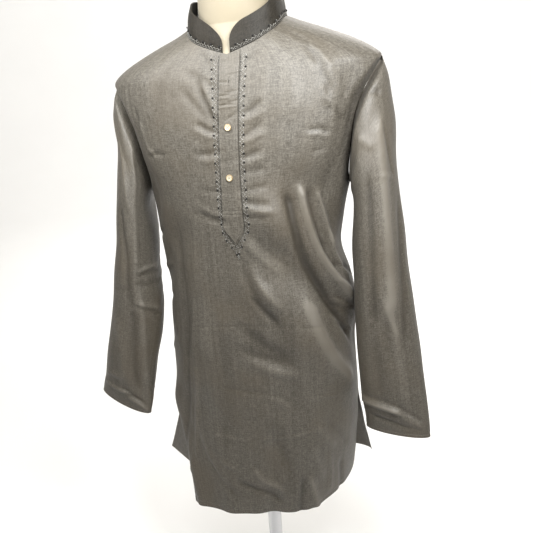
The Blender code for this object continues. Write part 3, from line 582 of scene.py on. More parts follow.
# %% The creases of the body
CREASES_BODY = (
    # from an angle and a height to an angle and a height, then bow, width and rise
    # beside the placket, on the wearer's right
    (-11.8, 1.139, -6, 1.096, 0.9, 5.5, -2.6), (-8.8, 1.138, -5.4, 1.103, -0.2, 4.5, 2.6),
    (-11, 1.083, -6.5, 1.075, 1.2, 4.5, -2.4), (-12, 1.075, -7, 1.068, 1.7, 4.5, 1.6),
    (-12.4, 1.043, -6.5, 1.044, 1.6, 5, -2.2), (-12.2, 1.033, -7.4, 1.033, 2, 5, 1.2),
    (-13.1, 0.987, -7.1, 0.985, 0.7, 4, -1.8), (-17.5, 0.945, -6.4, 0.936, 1, 6, -2.2),
    (-15.5, 0.955, -7.5, 0.947, 1.2, 4.5, 1.4), (-12.1, 1.18, -6.5, 1.159, -2.3, 3.5, -1.8),
    (-14.5, 1.156, -6.2, 1.138, -1.3, 6, -1.6), (-17.1, 1.129, -9.6, 1.099, 1.8, 6, -1.6),
    # beside the placket, on the wearer's left
    (8.2, 1.099, 12, 1.107, 0.7, 4.5, -2.2), (8.2, 1.088, 12, 1.093, 0.8, 4.5, 1.6),
    (8.3, 1.068, 12, 1.077, -0.1, 4, -2), (8.2, 1.058, 13.4, 1.065, 1.1, 4.5, 1.6),
    (7.9, 1.036, 12, 1.041, -0.3, 4.5, -2.2), (8.2, 1.026, 13, 1.03, 0.8, 4.5, 1.3),
    (8.4, 1.013, 14, 1.015, 0.3, 5, -1.6), (9, 0.986, 15.4, 0.989, -0.3, 5, -1.7),
    (9, 0.967, 15.5, 0.964, 1, 5, -2), (10, 0.957, 18, 0.952, 1.5, 4.5, 2.2),
    (9, 0.943, 16, 0.941, -0.3, 4.5, -1.8), (9.5, 1.17, 14, 1.177, 0.4, 3.2, -1.4),
    # chest
    (37.3, 1.063, 43.6, 1.059, -1.9, 4, -2.2), (37, 1.058, 44, 1.052, -1.5, 4.4, 1.6),
    (39.6, 1.031, 43.4, 1.033, -1.3, 3.6, -1.4), (44.5, 1.09, 53.5, 1.072, -1.3, 6, -2.4),
    (41.9, 1.105, 48, 1.084, -1.1, 6, 1.8), (-43.6, 1.039, -35.2, 1.042, -2.9, 3.6, -2),
    (-46.1, 1.084, -42.4, 1.046, 8.5, 5, 2.6), (-48.5, 1.1, -46.8, 1.057, 3.7, 5, -2.4),
    (17.5, 1.174, 14.6, 1.099, 4.3, 4, 0.9), (43.2, 1.186, 43, 1.123, 17.5, 9, -2.4),
    (42.6, 1.171, 49.4, 1.115, 14.3, 9, 2.2), (26.9, 1.177, 28, 1.108, 7.9, 12, 1.6),
    (-30.5, 1.155, -36.8, 1.097, -3.7, 12, -1.6),
    # the long pull from the placket to the left side seam
    (39, 0.967, 70.6, 0.787, 11.7, 7.5, 10), (31.7, 0.956, 73.4, 0.709, 18.2, 9, -7.5),
    (41.2, 0.769, 63.5, 0.637, 12.5, 15, 7), (52.1, 0.96, 66.4, 0.881, -2.1, 6, 4.4),
    (45.8, 0.96, 55.4, 0.882, -0.8, 6, -4), (65.7, 0.888, 74.7, 0.82, 0.8, 6, 3.4),
    (58.2, 0.875, 64.1, 0.82, 0.9, 5, -2.4),
    # puckers at the left side seam
    (64.6, 0.842, 89.8, 0.809, -1.6, 4.5, -2.8), (61.9, 0.816, 76, 0.789, 0.7, 4.5, 2.4),
    (63, 0.784, 76.7, 0.755, -0.4, 4.5, -2.6), (62.6, 0.764, 79.4, 0.732, -2.2, 4.5, -2.6),
    (60.6, 0.742, 81.8, 0.7, -1.9, 4.5, 2.4),
    # belly
    (5.4, 0.842, 17, 0.771, 4.7, 8, -3.4), (10.5, 0.845, 19.9, 0.796, 2.2, 7, 3.8),
    (8.5, 0.799, 17.4, 0.765, 0.8, 4.5, -2.4), (8.5, 0.895, 21.8, 0.855, 0.8, 9, 3.4),
    (3.6, 0.868, 13.8, 0.838, 1.5, 7, -2), (5, 0.734, 17.5, 0.703, 1.8, 12, -3.6),
    (3, 0.703, 17.1, 0.684, 1.7, 10, -2.4), (9, 0.676, 23.5, 0.658, 1.9, 10, 3.2),
    (-10.1, 0.624, 11.4, 0.618, -2.7, 6, -1.2), (12.4, 0.612, 20.6, 0.594, 0.3, 6, 1.4),
    (-25, 0.709, -24.1, 0.573, -4.7, 14, 0.8), (-14.2, 0.703, -16.5, 0.537, -3.9, 14, -1.4),
    (22.3, 0.747, 28, 0.604, -5, 14, -1.8), (-42.2, 0.874, -41, 0.686, -5, 12, -2.6),
    (-26.6, 0.862, -23.5, 0.71, -3.7, 14, 1.4),
    # pressed lines
    (-26, 0.744, 45.1, 0.742, -9.3, 2.2, -0.9), (-25.4, 0.518, -11, 0.521, -2.5, 2.6, 1.2),
    (7, 0.523, 30, 0.53, 1.8, 2.6, 1.2), (30, 0.53, 44.9, 0.538, -1.2, 2.6, 1.2),
    (38.2, 0.599, 53, 0.594, -1.7, 2.8, 1.3), (40, 0.808, 33.5, 0.601, 8.4, 2.6, 0.9),
    (-20.2, 0.987, -46.3, 0.531, 1.5, 3.4, 1), (-34.9, 0.646, -48.5, 0.465, -5.8, 5, 3),
    (-42.3, 0.64, -64.7, 0.455, -10.6, 7, -3), (-49, 0.488, -65.6, 0.418, -7.3, 3, 1.4),
    (0, 0.745, -5.8, 0.521, -0.1, 3, 0.7),
    # skirt front
    (-7.5, 0.421, 14, 0.388, -4.7, 6, -3.4), (2.1, 0.448, 13.9, 0.415, 4.4, 6, 3.6),
    (42.5, 0.53, 50.9, 0.493, 1, 7, 3), (49.1, 0.537, 64.2, 0.476, -0.6, 7, -2.2),
    (-18.8, 0.466, -13.6, 0.459, 0.7, 5, 2), (30.5, 0.421, 29.5, 0.365, 0, 7, -3.6),
    (35.7, 0.421, 40.4, 0.358, -0.5, 7, 4.2), (36.9, 0.489, 42.8, 0.435, 0.5, 7, 2.8),
    (61.1, 0.421, 62.9, 0.358, -0.6, 7, -3), (49.4, 0.457, 50.9, 0.39, -2.5, 7, 2.2),
    (-30.6, 0.443, -17.7, 0.406, -1.3, 9, -2.2), (-36.1, 0.5, -24.3, 0.432, 6.7, 9, 1.8),
    (20, 0.486, 23.1, 0.415, -2.1, 10, -2), (10.5, 0.515, 17.5, 0.451, 1.4, 10, 1.6),
    # right side
    (-62, 0.9, -84, 0.872, 1, 6, -2), (-60, 0.84, -86, 0.815, -1, 6, 1.8),
    (-58, 0.78, -84, 0.752, 1, 7, -2), (-55, 0.69, -82, 0.65, 2, 7, 1.6),
    # back: across the shoulders, the waist and the skirt
    (168, 1.12, 138, 1.06, 3, 7, -2), (-168, 1.11, -136, 1.05, -3, 7, -2),
    (172, 1.05, 140, 1.01, 2, 6, 1.6), (-172, 1.046, -141, 1, -2, 6, 1.6),
    (150, 0.96, 118, 0.9, 3, 7, -2.4), (-150, 0.955, -120, 0.89, -3, 7, -2.4),
    (160, 0.9, 124, 0.82, 4, 8, 2.4), (-158, 0.89, -122, 0.812, -4, 8, 2.4),
    (166, 0.84, 132, 0.74, 3, 7, -2), (-165, 0.83, -130, 0.735, -3, 7, -2.2),
    (176, 0.76, 160, 0.7, 2, 6, 1.4), (-174, 0.75, -158, 0.69, -2, 6, 1.4),
    (175, 0.93, 174, 0.56, 3, 3.2, 0.6), (120, 0.744, 170, 0.742, -6, 2.8, -0.6),
    (-170, 0.742, -118, 0.746, 6, 2.8, -0.6), (115, 0.52, 165, 0.524, 3, 2.8, 0.7),
    (-166, 0.522, -120, 0.516, -3, 2.8, 0.7), (150, 0.47, 146, 0.365, 2, 7, 2),
    (-158, 0.48, -154, 0.365, 2, 7, 1.8), (132, 0.46, 128, 0.38, 0, 6, -1.6),
    (-128, 0.47, -126, 0.38, 0, 6, -1.6),
)
print("body creases:", len(CREASES_BODY))

# %% The creases of the sleeves
CREASES_SLEEVE = {
    # from a turn and a ring to a turn and a ring, then bow, width and rise
    1: (
        (44, 2.4, 61, 7.35, 2.1, 12, 5.6), (37, 2.28, 23, 3.99, 3, 3, -2),
        (51, 3.81, 25, 4.05, 1.7, 3, 1.6), (82, 3.87, 96, 7.59, 1, 11, -4),
        (16, 5.25, 40, 8.46, 0.9, 10, -3.4), (71, 7.74, 63, 8.25, -0.2, 8, 3.6),
        (78, 8.28, 75, 9, 1.3, 8, -2.2), (156, 10.92, 34, 12.21, -25.8, 3.6, 1.8),
        (136, 10.65, 35, 11.73, -16.8, 4.4, -1.8), (137, 10.8, 84, 11.04, -1.7, 8, 4),
        (77, 11.13, 45, 12.03, 3.1, 7, 2.6), (114, 11.79, 72, 12.21, -3, 7, -2.6),
        (100, 8.91, 100, 10.23, -1.9, 9, -2.6), (62, 8.67, 62, 10.35, 0, 9, 2.6),
        (46, 0.69, 37, 1.05, -0.4, 4, -3), (85, 1.41, 64, 2.58, 0.8, 5, 2.2),
        # back of the sleeve
        (300, 0.6, 262, 3.4, 4, 9, -5), (280, 2.2, 240, 5.2, 4, 8, 2.6),
        (200, 5.9, 260, 6.2, 5, 4, -1.8), (196, 6.6, 250, 6.9, 4, 4, 1.6),
        (205, 7.4, 262, 7.5, 4, 4, -1.6), (318, 5.4, 312, 9.2, 2, 9, -2.2),
        (285, 7.8, 276, 11, 2, 9, 2.2), (212, 11.2, 300, 12, 9, 3.6, 1.6),
        (240, 9.1, 300, 9.6, 4, 5, -1.4),
    ),
    -1: (
        (129, 6.45, 175, 6.33, 4.6, 4, 2.4), (129, 6.6, 175, 6.54, 3, 3.6, -1.4),
        (128, 6.96, 168, 6.99, 0.6, 4, -1.4), (120, 7.83, 166, 8.16, 1.1, 4, -1.5),
        (121, 7.68, 166, 7.92, 0.5, 4, 2), (76, 4.68, 101, 7.44, 4.1, 9, -3.4),
        (110, 8.31, 132, 10.68, -1.1, 9, -3.6), (126, 7.53, 156, 10.47, -5.9, 9, 3.2),
        (88, 0.75, 117, 6, 8.5, 9, 3), (60, 10.8, 88, 10.71, 2, 6, 2.6),
        (65, 11.52, 103, 11.58, -0.1, 7, 3), (125, 12.15, 157, 12.66, 0.5, 7, 2.8),
        (112, 11.46, 139, 11.94, -1.6, 6, -2.2), (60, 7.38, 84, 7.26, -1.2, 3.6, -1.5),
        (75, 8.88, 103, 10.44, 3.2, 10, 2.6), (28, 1.32, 96, 3.81, -0.6, 9, 2.6),
        # back of the sleeve
        (300, 0.6, 258, 3.6, 4, 9, -5), (276, 2, 238, 5, 4, 8, 2.6),
        (196, 6.3, 256, 6.1, 4, 4, -1.8), (194, 6.95, 250, 6.7, 3, 4, 1.6),
        (192, 7.8, 246, 7.4, 3, 4, -1.6), (316, 5.2, 308, 9, 2, 9, -2.2),
        (282, 7.6, 272, 10.8, 2, 9, 2.2), (216, 11.3, 296, 11.9, 8, 3.6, 1.6),
        (236, 9, 296, 9.5, 4, 5, -1.4),
    ),
}
print("sleeve creases:", len(CREASES_SLEEVE[1]), "and", len(CREASES_SLEEVE[-1]))

# %% Add the creases up
MM = 0.001
SLEEVE_RADIUS = 0.055            # rounds off a sleeve's girth for measuring across a crease
RING_STEP = 0.0475               # from one ring of a sleeve to the next
CREASE_FADE = 2.2                # as for the large folds
# The full tone of a crease is its painted highlight on a ridge and its painted shade in a hollow.
FULL_RISE = 0.006                # a crease this high or deep has its tone in full


def wrapped(angle):
    return (angle + 180.0) % 360.0 - 180.0


def crease_rise(creases, turn, along, radius, step):
    """Rise of the creases at points given by turn, in degrees, and a count of steps along."""
    return sum(ridge(np.radians(wrapped(turn - turn0)) * radius, (along - along0) * step,
                     np.radians(wrapped(turn1 - turn0)) * radius, (along1 - along0) * step,
                     bow * MM, width * MM, rise * MM, CREASE_FADE)
               for turn0, along0, turn1, along1, bow, width, rise in creases)


# Painted light: 1 gives a ridge its full painted highlight, -1 a hollow its full painted shade.
def painted_light_rise(rise):
    return np.clip(rise / FULL_RISE, -1.0, 1.0)


waves = np.random.default_rng(7)
WAVE_SLOPES = waves.normal(0.0, 1.0, (9, 2)) * waves.uniform(35.0, 90.0, (9, 1))
WAVE_STARTS = waves.uniform(0.0, 2 * math.pi, 9)
WAVE_RISE = 0.00022


def slack(x, y):
    """The gentle unevenness of hanging cotton, as a sum of slow waves over its own surface."""
    return sum(WAVE_RISE * np.sin(across * x + upward * y + first)
               for (across, upward), first in zip(WAVE_SLOPES, WAVE_STARTS))


print("slack at one point, in mm:", round(float(slack(0.1, 0.2)) * 1000, 2))

# %% [markdown]
# ## Making a sheet of cloth
# Each piece of cloth starts as a flat grid, as it would be cut, and every point of the grid is then
# moved to its place on the body. A Solidify modifier gives it the thickness of the cotton. The
# front and back panels could be one tube, but a maker cuts them apart, and the slits need edges.

# %% One sheet from a flat grid
COTTON = 0.0009                  # thickness of the cloth


def new_object(name, bm, look, smoothed=True):
    for face in bm.faces:
        face.smooth = smoothed
    mesh = bpy.data.meshes.new(name)
    bm.to_mesh(mesh)
    bm.free()
    mesh.materials.append(look)
    made = bpy.data.objects.new(name, mesh)
    bpy.context.scene.collection.objects.link(made)
    return made


def finish(name, bm, look, slot, *replaces, smoothed=True):
    """Turn a bmesh into an object that rides on the part."""
    made = new_object(name, bm, look, smoothed)
    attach(made, "root")
    if replaces:
        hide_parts(*replaces)
    print(name, "has", len(made.data.polygons), "faces")
    return made


def grid(columns, rows):
    """A flat grid, with how far across and up it each point is, from 0 to 1."""
    bm = bmesh.new()
    bmesh.ops.create_grid(bm, x_segments=columns, y_segments=rows, size=0.5)
    s, t = np.clip(np.array([v.co[:2] for v in bm.verts]).T + 0.5, 0, 1)
    return bm, s, t


def lay(bm, points, uvs, outs, rises=None):
    """Move a grid's points to their places, its faces turned outward, with its UV map in metres.

    The attribute `rise` keeps rises, from -1 in a deep hollow to 1 on a high ridge. The cotton
    paints shade into the hollows and a highlight onto the ridges from it.
    """
    across, along = uvs
    rises = np.zeros(len(points)) if rises is None else rises
    uv = bm.loops.layers.uv.new("UVMap")
    for face in bm.faces:
        for loop in face.loops:
            loop[uv].uv = (across[loop.vert.index], along[loop.vert.index])
    rise = bm.verts.layers.float.new("rise")
    for vert, spot, high in zip(bm.verts, points, rises):
        vert.co = spot
        vert[rise] = high
    bm.normal_update()
    if sum(face.normal.dot(Vector(outs[face.verts[0].index])) for face in bm.faces) < 0:
        bmesh.ops.reverse_faces(bm, faces=bm.faces)


def hang(name, bm, look, slot, node, thick, **sheet):
    """Finish a sheet, with a wall to the inside of its face, in place of a node of the part."""
    for edge in bm.edges:
        if edge.is_boundary:
            edge.smooth = False
    made = finish(name, bm, look, slot, node)
    made.modifiers.new("thickness", "SOLIDIFY").thickness = thick
    return made


print("cloth helpers are ready")

# %% The surface of the front and back
HEM_BAND = 0.009                 # from the hem's edge to its line of stitches
NARROW_HEM = 0.007               # the same along the slits
STITCH_SINK = 0.00045
SEAM_SINK = 0.0008
PLAIN_SHARE = 0.93               # share of a panel's rows below the shoulder points
VALLEYS = {("front", 1): 0.024, ("front", -1): 0.017, ("back", 1): 0.010, ("back", -1): 0.010}
VALLEY_WIDTH = 0.015
VALLEY_FROM, VALLEY_FADE = 0.945, 0.03      # it starts at this height and is full so far above
FLAP_GROWTH = 0.030              # a slit's flap grows to its width over this height
CLOTH_RADIUS = 0.155             # turns a panel's angles into metres of its UV map


def cut_angle(panel, side, height):
    """The edge's angle, where the slit's flap grows from nothing at the slit's top."""
    edge = edge_angle(panel, side, height)
    grown = smooth((SLIT_TOP - height) / FLAP_GROWTH)
    return np.where(edge > 90.0, 90.0 + (edge - 90.0) * grown, edge)


def panel_spot(panel, s, t):
    """Angle from the panel's own middle, and height, of a point of its grid."""
    low = np.interp(t, [0.0, 0.03, PLAIN_SHARE, 1.0], [HEM, HEM + 0.014, SHOULDER, SHOULDER])
    high = np.clip((t - PLAIN_SHARE) / (1.0 - PLAIN_SHARE), 0.0, 1.0)
    edge_height = low + (NECK_SIDE - SHOULDER) * high
    right_edge, left_edge = (cut_angle(panel, side, edge_height) for side in (-1, 1))
    angle = -right_edge + (right_edge + left_edge) * s
    return angle, low + (neckline(panel, angle) - SHOULDER) * high


def stitch_sink(gap, height):
    """A shallow line beside each hem, and a slight dip along the seams."""
    hem = np.exp(-((height - HEM - HEM_BAND) / 0.0014) ** 2)
    slit = np.exp(-((gap - NARROW_HEM) / 0.0020) ** 2) * smooth((SLIT_TOP - height) / 0.01)
    seam = np.exp(-(gap / 0.0028) ** 2) * smooth((height - SLIT_TOP) / 0.01)
    return -STITCH_SINK * np.maximum(hem, slit) - SEAM_SINK * seam


def valley(side, seam, gap):
    """How far the cloth sinks to the hollow before the arm, `gap` away from a point of the seam."""
    front, behind = (np.where(side > 0, VALLEYS[panel, 1], VALLEYS[panel, -1])
                     for panel in ("front", "back"))
    deep = np.where(seam[..., 1] < 0, front, -behind)
    over = smooth(np.abs(seam[..., 1]) / 0.020) * smooth((seam[..., 2] - VALLEY_FROM) / VALLEY_FADE)
    sunk = deep * over * np.exp(-(gap / VALLEY_WIDTH) ** 2)
    return np.stack([sunk * 0.0, sunk, sunk * 0.0], axis=-1)


def body_creases(panel, angle, height):
    return crease_rise(CREASES_BODY, round_angle(panel, angle), height, reach(height), 1.0)


def body_surface(panel, angle, height, lift=0.0):
    """The finished surface of a panel, with its creases, at an angle from the panel's middle."""
    whole = round_angle(panel, angle)
    radius = reach(height)
    side = np.where(angle < 0, -1, 1)
    edge = edge_angle(panel, side, height)
    gap = np.radians(edge - np.abs(angle)) * radius
    rise = body_creases(panel, angle, height) + slack(np.radians(whole) * radius, height)
    seam = body_point(panel, round_angle(panel, side * edge), height)
    return (body_point(panel, whole, height, rise + stitch_sink(gap, height) + lift)
            + valley(side, seam, gap))


def body_out(panel, angle, height):
    """Outward direction of the finished surface."""
    side = body_surface(panel, angle + 0.5, height) - body_surface(panel, angle - 0.5, height)
    rise = body_surface(panel, angle, height + 0.002) - body_surface(panel, angle, height - 0.002)
    return unit(np.cross(side, rise)) * (1.0 if panel == "front" else -1.0)


print("the chest's surface:", body_surface("front", np.array(0.0), np.array(1.035)).round(3))

# %% The front and back panels
for panel, size, area in (("front", (0.56, 0.88), 0.41), ("back", (0.54, 0.88), 0.40)):
    bm, s, t = grid(150, 280)
    angle, height = panel_spot(panel, s, t)
    lay(bm, body_surface(panel, angle, height), (np.radians(angle) * CLOTH_RADIUS, height),
        body_out(panel, angle, height), painted_light_rise(body_creases(panel, angle, height)))
    hang(f"{panel}_cloth", bm, grey_cotton, "grey_cotton", f"{panel}_panel", COTTON,
         flat=size, held="hung", rests_on=["form_torso"], area=area)

# %% [markdown]
# ## The sleeves
# A sleeve is one sheet closed along the underarm, so its grid is wrapped round and its two long
# edges are merged. The cuff ends in a hem with one line of stitches.

# %% The sleeves
CUFF_BAND = 0.010


def sleeve_out(side, turn, at):
    round_on = sleeve_point(side, turn + 2.0, at) - sleeve_point(side, turn - 2.0, at)
    down = (sleeve_point(side, turn, np.minimum(at + 0.1, CUFF))
            - sleeve_point(side, turn, np.maximum(at - 0.1, 0.0)))
    return unit(np.cross(round_on, down)) * side


def sleeve_creases(side, turn, at):
    return crease_rise(CREASES_SLEEVE[side], turn, at, SLEEVE_RADIUS, RING_STEP)


def sleeve_surface(side, turn, at):
    """The finished surface of a sleeve, with its creases."""
    wave = slack(np.sin(np.radians(turn)) * SLEEVE_RADIUS + side, at * RING_STEP)
    hem = STITCH_SINK * np.exp(-(((CUFF - at) * RING_STEP - CUFF_BAND) / 0.0016) ** 2)
    fade = smooth(at / 0.6)
    rise = (sleeve_creases(side, turn, at) + wave - hem) * fade - SEAM_SINK * (1.0 - fade)
    seam = sleeve_point(side, turn, np.zeros(np.shape(at)))
    return (sleeve_point(side, turn, at) + sleeve_out(side, turn, at) * rise[..., None]
            + valley(side, seam, at * RING_STEP))


for side, name in ((1, "left"), (-1, "right")):
    bm, s, t = grid(120, 210)
    turn, at = 360.0 * s, np.interp(t, [0.0, 0.94, 1.0], [0.0, 12.66, CUFF])
    lay(bm, sleeve_surface(side, turn, at), (0.36 * s + 0.7, -RING_STEP * at),
        sleeve_out(side, turn, at), painted_light_rise(sleeve_creases(side, turn, at)))
    bmesh.ops.remove_doubles(bm, verts=bm.verts, dist=0.00002)
    hang(f"sleeve_{name}_cloth", bm, grey_cotton, "grey_cotton", f"sleeve_{name}", COTTON,
         flat=(0.40, 0.62), held="hung", rests_on=["front_cloth", "back_cloth"], area=0.21)

# %% [markdown]
# ## The collar
# The collar is a standing band of the same cotton, doubled and stiffened, in a darker copy of it
# that has shade painted into its colour. It starts at one side of the opening, runs round the back
# of the neck and ends at the other, with both corners rounded.

# %% The collar
COLLAR_HEIGHT, COLLAR_WALL, COLLAR_LEAN = 0.038, 0.0020, 0.22
CollarEnd = namedtuple("CollarEnd", "across length drop")
COLLAR_LEFT, COLLAR_RIGHT = CollarEnd(0.0050, 0.026, 0.020), CollarEnd(-0.0070, 0.050, 0.026)


def collar_base():
    """Points along the neckline, from the left end round the back to the right end."""
    half = float(body("half_left", NECK_FRONT))
    first, last = (math.degrees(math.asin(end.across / half))
                   for end in (COLLAR_LEFT, COLLAR_RIGHT))
    runs = (("front", np.linspace(first, 90.0, 160)), ("back", np.linspace(90.0, -90.0, 320)[1:]),
            ("front", np.linspace(-90.0, last, 160)[1:]))
    return np.concatenate([body_point(panel, round_angle(panel, angle), neckline(panel, angle))
                           for panel, angle in runs])


BASE = collar_base()
BASE_RUN = lengths(BASE)
COLLAR_LENGTH = BASE_RUN[-1]


def collar_out(run):
    """Level outward direction of the band."""
    ahead = follow(run + 0.004, BASE_RUN, BASE) - follow(run - 0.004, BASE_RUN, BASE)
    return unit(np.stack([ahead[..., 1], -ahead[..., 0], np.zeros(ahead.shape[:-1])], -1))


def collar_top(run):
    """Height of the band, less at its two rounded corners."""
    left = run < 0.5 * COLLAR_LENGTH
    length = np.where(left, COLLAR_LEFT.length, COLLAR_RIGHT.length)
    drop = np.where(left, COLLAR_LEFT.drop, COLLAR_RIGHT.drop)
    from_end = np.clip(np.minimum(run, COLLAR_LENGTH - run) / length, 0.0, 1.0)
    return COLLAR_HEIGHT - drop * (1.0 - np.sqrt(1.0 - (1.0 - from_end) ** 2))


def collar_surface(run, up, lift=0.0):
    """A point of the band's outer face, up metres above its seam."""
    out = collar_out(run)
    rise = unit(np.array([0.0, 0.0, 1.0]) - out * COLLAR_LEAN)
    crown = 0.0007 * np.sin(np.pi * np.clip(up / COLLAR_HEIGHT, 0.0, 1.0))
    dents = slack(run * 1.7, up * 2.5) * 1.2
    return (follow(run, BASE_RUN, BASE) + rise * np.asarray(up)[..., None]
            + out * (crown + dents + lift)[..., None])


bm, s, t = grid(220, 16)
run = COLLAR_LENGTH * (0.5 - 0.5 * np.cos(np.pi * s)) * 0.35 + COLLAR_LENGTH * s * 0.65
up = collar_top(run) * t
lay(bm, collar_surface(run, up), (run, up + 2.0), collar_out(run))
# The band wears the darker copy of the cotton, with its painted shade.
collar = hang("collar_band", bm, shaded_band_cotton, "grey_cotton_band", "collar", COLLAR_WALL,
              flat=(0.48, 0.04), held="stretched", rests_on=["front_cloth", "back_cloth"])
soft_edge = collar.modifiers.new("soft_edge", "BEVEL")
soft_edge.width = 0.0006
soft_edge.segments = 2
soft_edge.limit_method = "ANGLE"
soft_edge.angle_limit = math.radians(60)
print("collar length:", round(float(COLLAR_LENGTH), 3))

# %% [markdown]
# ## The placket
# The opening is covered by a strip with a pointed end, sewn down close to its edges. It bridges
# small creases and has a few of its own where the buttons pull it.

# %% The placket strip
STRIP = (
    ("height", "centre", "half"),
    (0.9015, 0.0014, 0.0004), (0.913, 0.0007, 0.0082), (0.925, 0.0003, 0.016),
    (0.94, 0.0004, 0.0164), (0.962, 0.0006, 0.0156), (1.009, 0.001, 0.0145),
    (1.046, 0.0017, 0.0143), (1.11, 0.0028, 0.0144), (1.13, 0.0036, 0.0145), (1.181, 0.005, 0.015),
)
STRIP_LIFT, STRIP_WALL = 0.0021, 0.0011
STRIP_END = 0.9015               # height of the strip's point
STRIP_TOP_HALF, STRIP_TOP_GAP = 0.0150, 0.0004    # half its width at the neck, and the gap there
CROSS_ROWS = (0.9540, 0.9475)    # heights of the two lines of stitches across it
EDGE_ROW = 0.0016                # from its edge to its stitches
CREASES_STRIP = (
    # metres across, height, metres across, height, then width and rise in millimetres
    (-0.012, 1.1245, 0.001, 1.125, 1.6, -0.8), (-0.012, 1.1212, 0.002, 1.1216, 1.6, 0.7),
    (0.004, 1.129, 0.016, 1.13, 2, -0.6), (-0.012, 1.1115, 0.006, 1.112, 1.5, -0.9),
    (0.004, 1.115, 0.016, 1.1165, 1.6, -0.6), (-0.012, 1.1085, 0.014, 1.109, 1.8, 0.6),
    (-0.009, 1.1435, 0, 1.143, 1.8, -0.7), (0.006, 1.152, 0.015, 1.153, 2.2, -0.6),
    (-0.006, 1.172, 0.004, 1.171, 2.6, -0.5), (0.003, 1.092, 0.01, 1.0965, 3, -0.8),
    (-0.01, 1.03, 0.012, 1.033, 5, -0.6), (-0.01, 0.985, 0.012, 0.986, 6, -0.5),
)


def strip(name, height):
    return column(STRIP, name, height)


def angle_at(x, height):
    """The angle from the centre front of a point that lies x metres across."""
    return np.degrees(np.arcsin(x / half_width(x >= 0, height)))


def strip_surface(s, height, lift=0.0):
    """A point of the strip's face: s is -1 at its right edge and 1 at its left one."""
    half = strip("half", height)
    x = strip("centre", height) + half * s
    in_from_edge = half * (1.0 - np.abs(s))
    pillow = 0.0004 * (1.0 - s ** 4) - 0.00035 * np.exp(-((in_from_edge - EDGE_ROW) / 0.0007) ** 2)
    sunk = 0.0004 * sum(np.exp(-((height - row) / 0.0010) ** 2) for row in CROSS_ROWS)
    creased = sum(ridge(x - x0, height - z0, x1 - x0, z1 - z0, 0.0, width * MM, rise * MM, 2.5)
                  for x0, z0, x1, z1, width, rise in CREASES_STRIP)
    rise = STRIP_LIFT + pillow - sunk + creased + lift
    return body_surface("front", angle_at(x, height), height, rise)


bm, s, t = grid(36, 300)
across = 2 * s - 1
top = neckline("front", angle_at(strip("centre", NECK_FRONT) + STRIP_TOP_HALF * across, NECK_FRONT))
height = STRIP_END + (top - STRIP_TOP_GAP - STRIP_END) * t
lay(bm, strip_surface(across, height), (0.031 * s + 1.4, height),
    body_out("front", 0.0 * s, height))
hang("placket_strip", bm, grey_cotton, "grey_cotton", "placket", STRIP_WALL,
     flat=(0.033, 0.285), held="stretched", rests_on=["front_cloth"])

# %% [markdown]
# ## The buttons
# Two small round buttons, turned like a shallow dish with a raised rim. Half of the dish's outline
# is drawn once and spun round its axis. Thread holds each one through four holes, which are dark
# discs of painted shade.

# %% The buttons
BUTTON_RADIUS, BUTTON_THICK = 0.0053, 0.0024
BUTTON_PLACES = ((1.080, 0.0019), (1.006, 0.0004))      # height and distance across
BUTTON_OUTLINE = (
    (0, 0), (0.8, 0), (0.93, 0.1), (1, 0.36), (1, 0.62), (0.95, 0.86), (0.86, 0.98), (0.76, 0.96),
    (0.66, 0.8), (0.5, 0.7), (0.25, 0.68), (0, 0.68),
)
HOLE_PLACES = ((0.26, 0.26), (-0.26, 0.26), (-0.26, -0.26), (0.26, -0.26))


def stand(spot, out, forward):
    """A matrix at a spot: its third axis outward, its first as near forward as can be."""
    out = Vector(out)
    side = out.cross(Vector(forward)).normalized()
    turned = Matrix((side.cross(out), side, out)).transposed().to_4x4()
    return Matrix.Translation(Vector(spot)) @ turned


def seat(height, x, lift):
    """A matrix that stands on the strip with its third axis pointing out."""
    height, x = np.array(height), np.array(x)
    spot = strip_surface((x - strip("centre", height)) / strip("half", height), height, lift)
    return stand(spot, body_out("front", angle_at(x, height), height), (1.0, 0.0, 0.0))


def spun(outline, segments):
    """A closed outline of (radius, height) spun a full turn about the third axis."""
    bm = bmesh.new()
    verts = [bm.verts.new((radius, 0.0, height)) for radius, height in outline]
    edges = [bm.edges.new(pair) for pair in zip(verts, verts[1:])]
    bmesh.ops.spin(bm, geom=verts + edges, cent=(0, 0, 0), axis=(0, 0, 1), angle=2 * math.pi,
                   steps=segments, use_merge=True)
    bmesh.ops.remove_doubles(bm, verts=bm.verts, dist=1e-6)
    bmesh.ops.recalc_face_normals(bm, faces=bm.faces)
    return bm


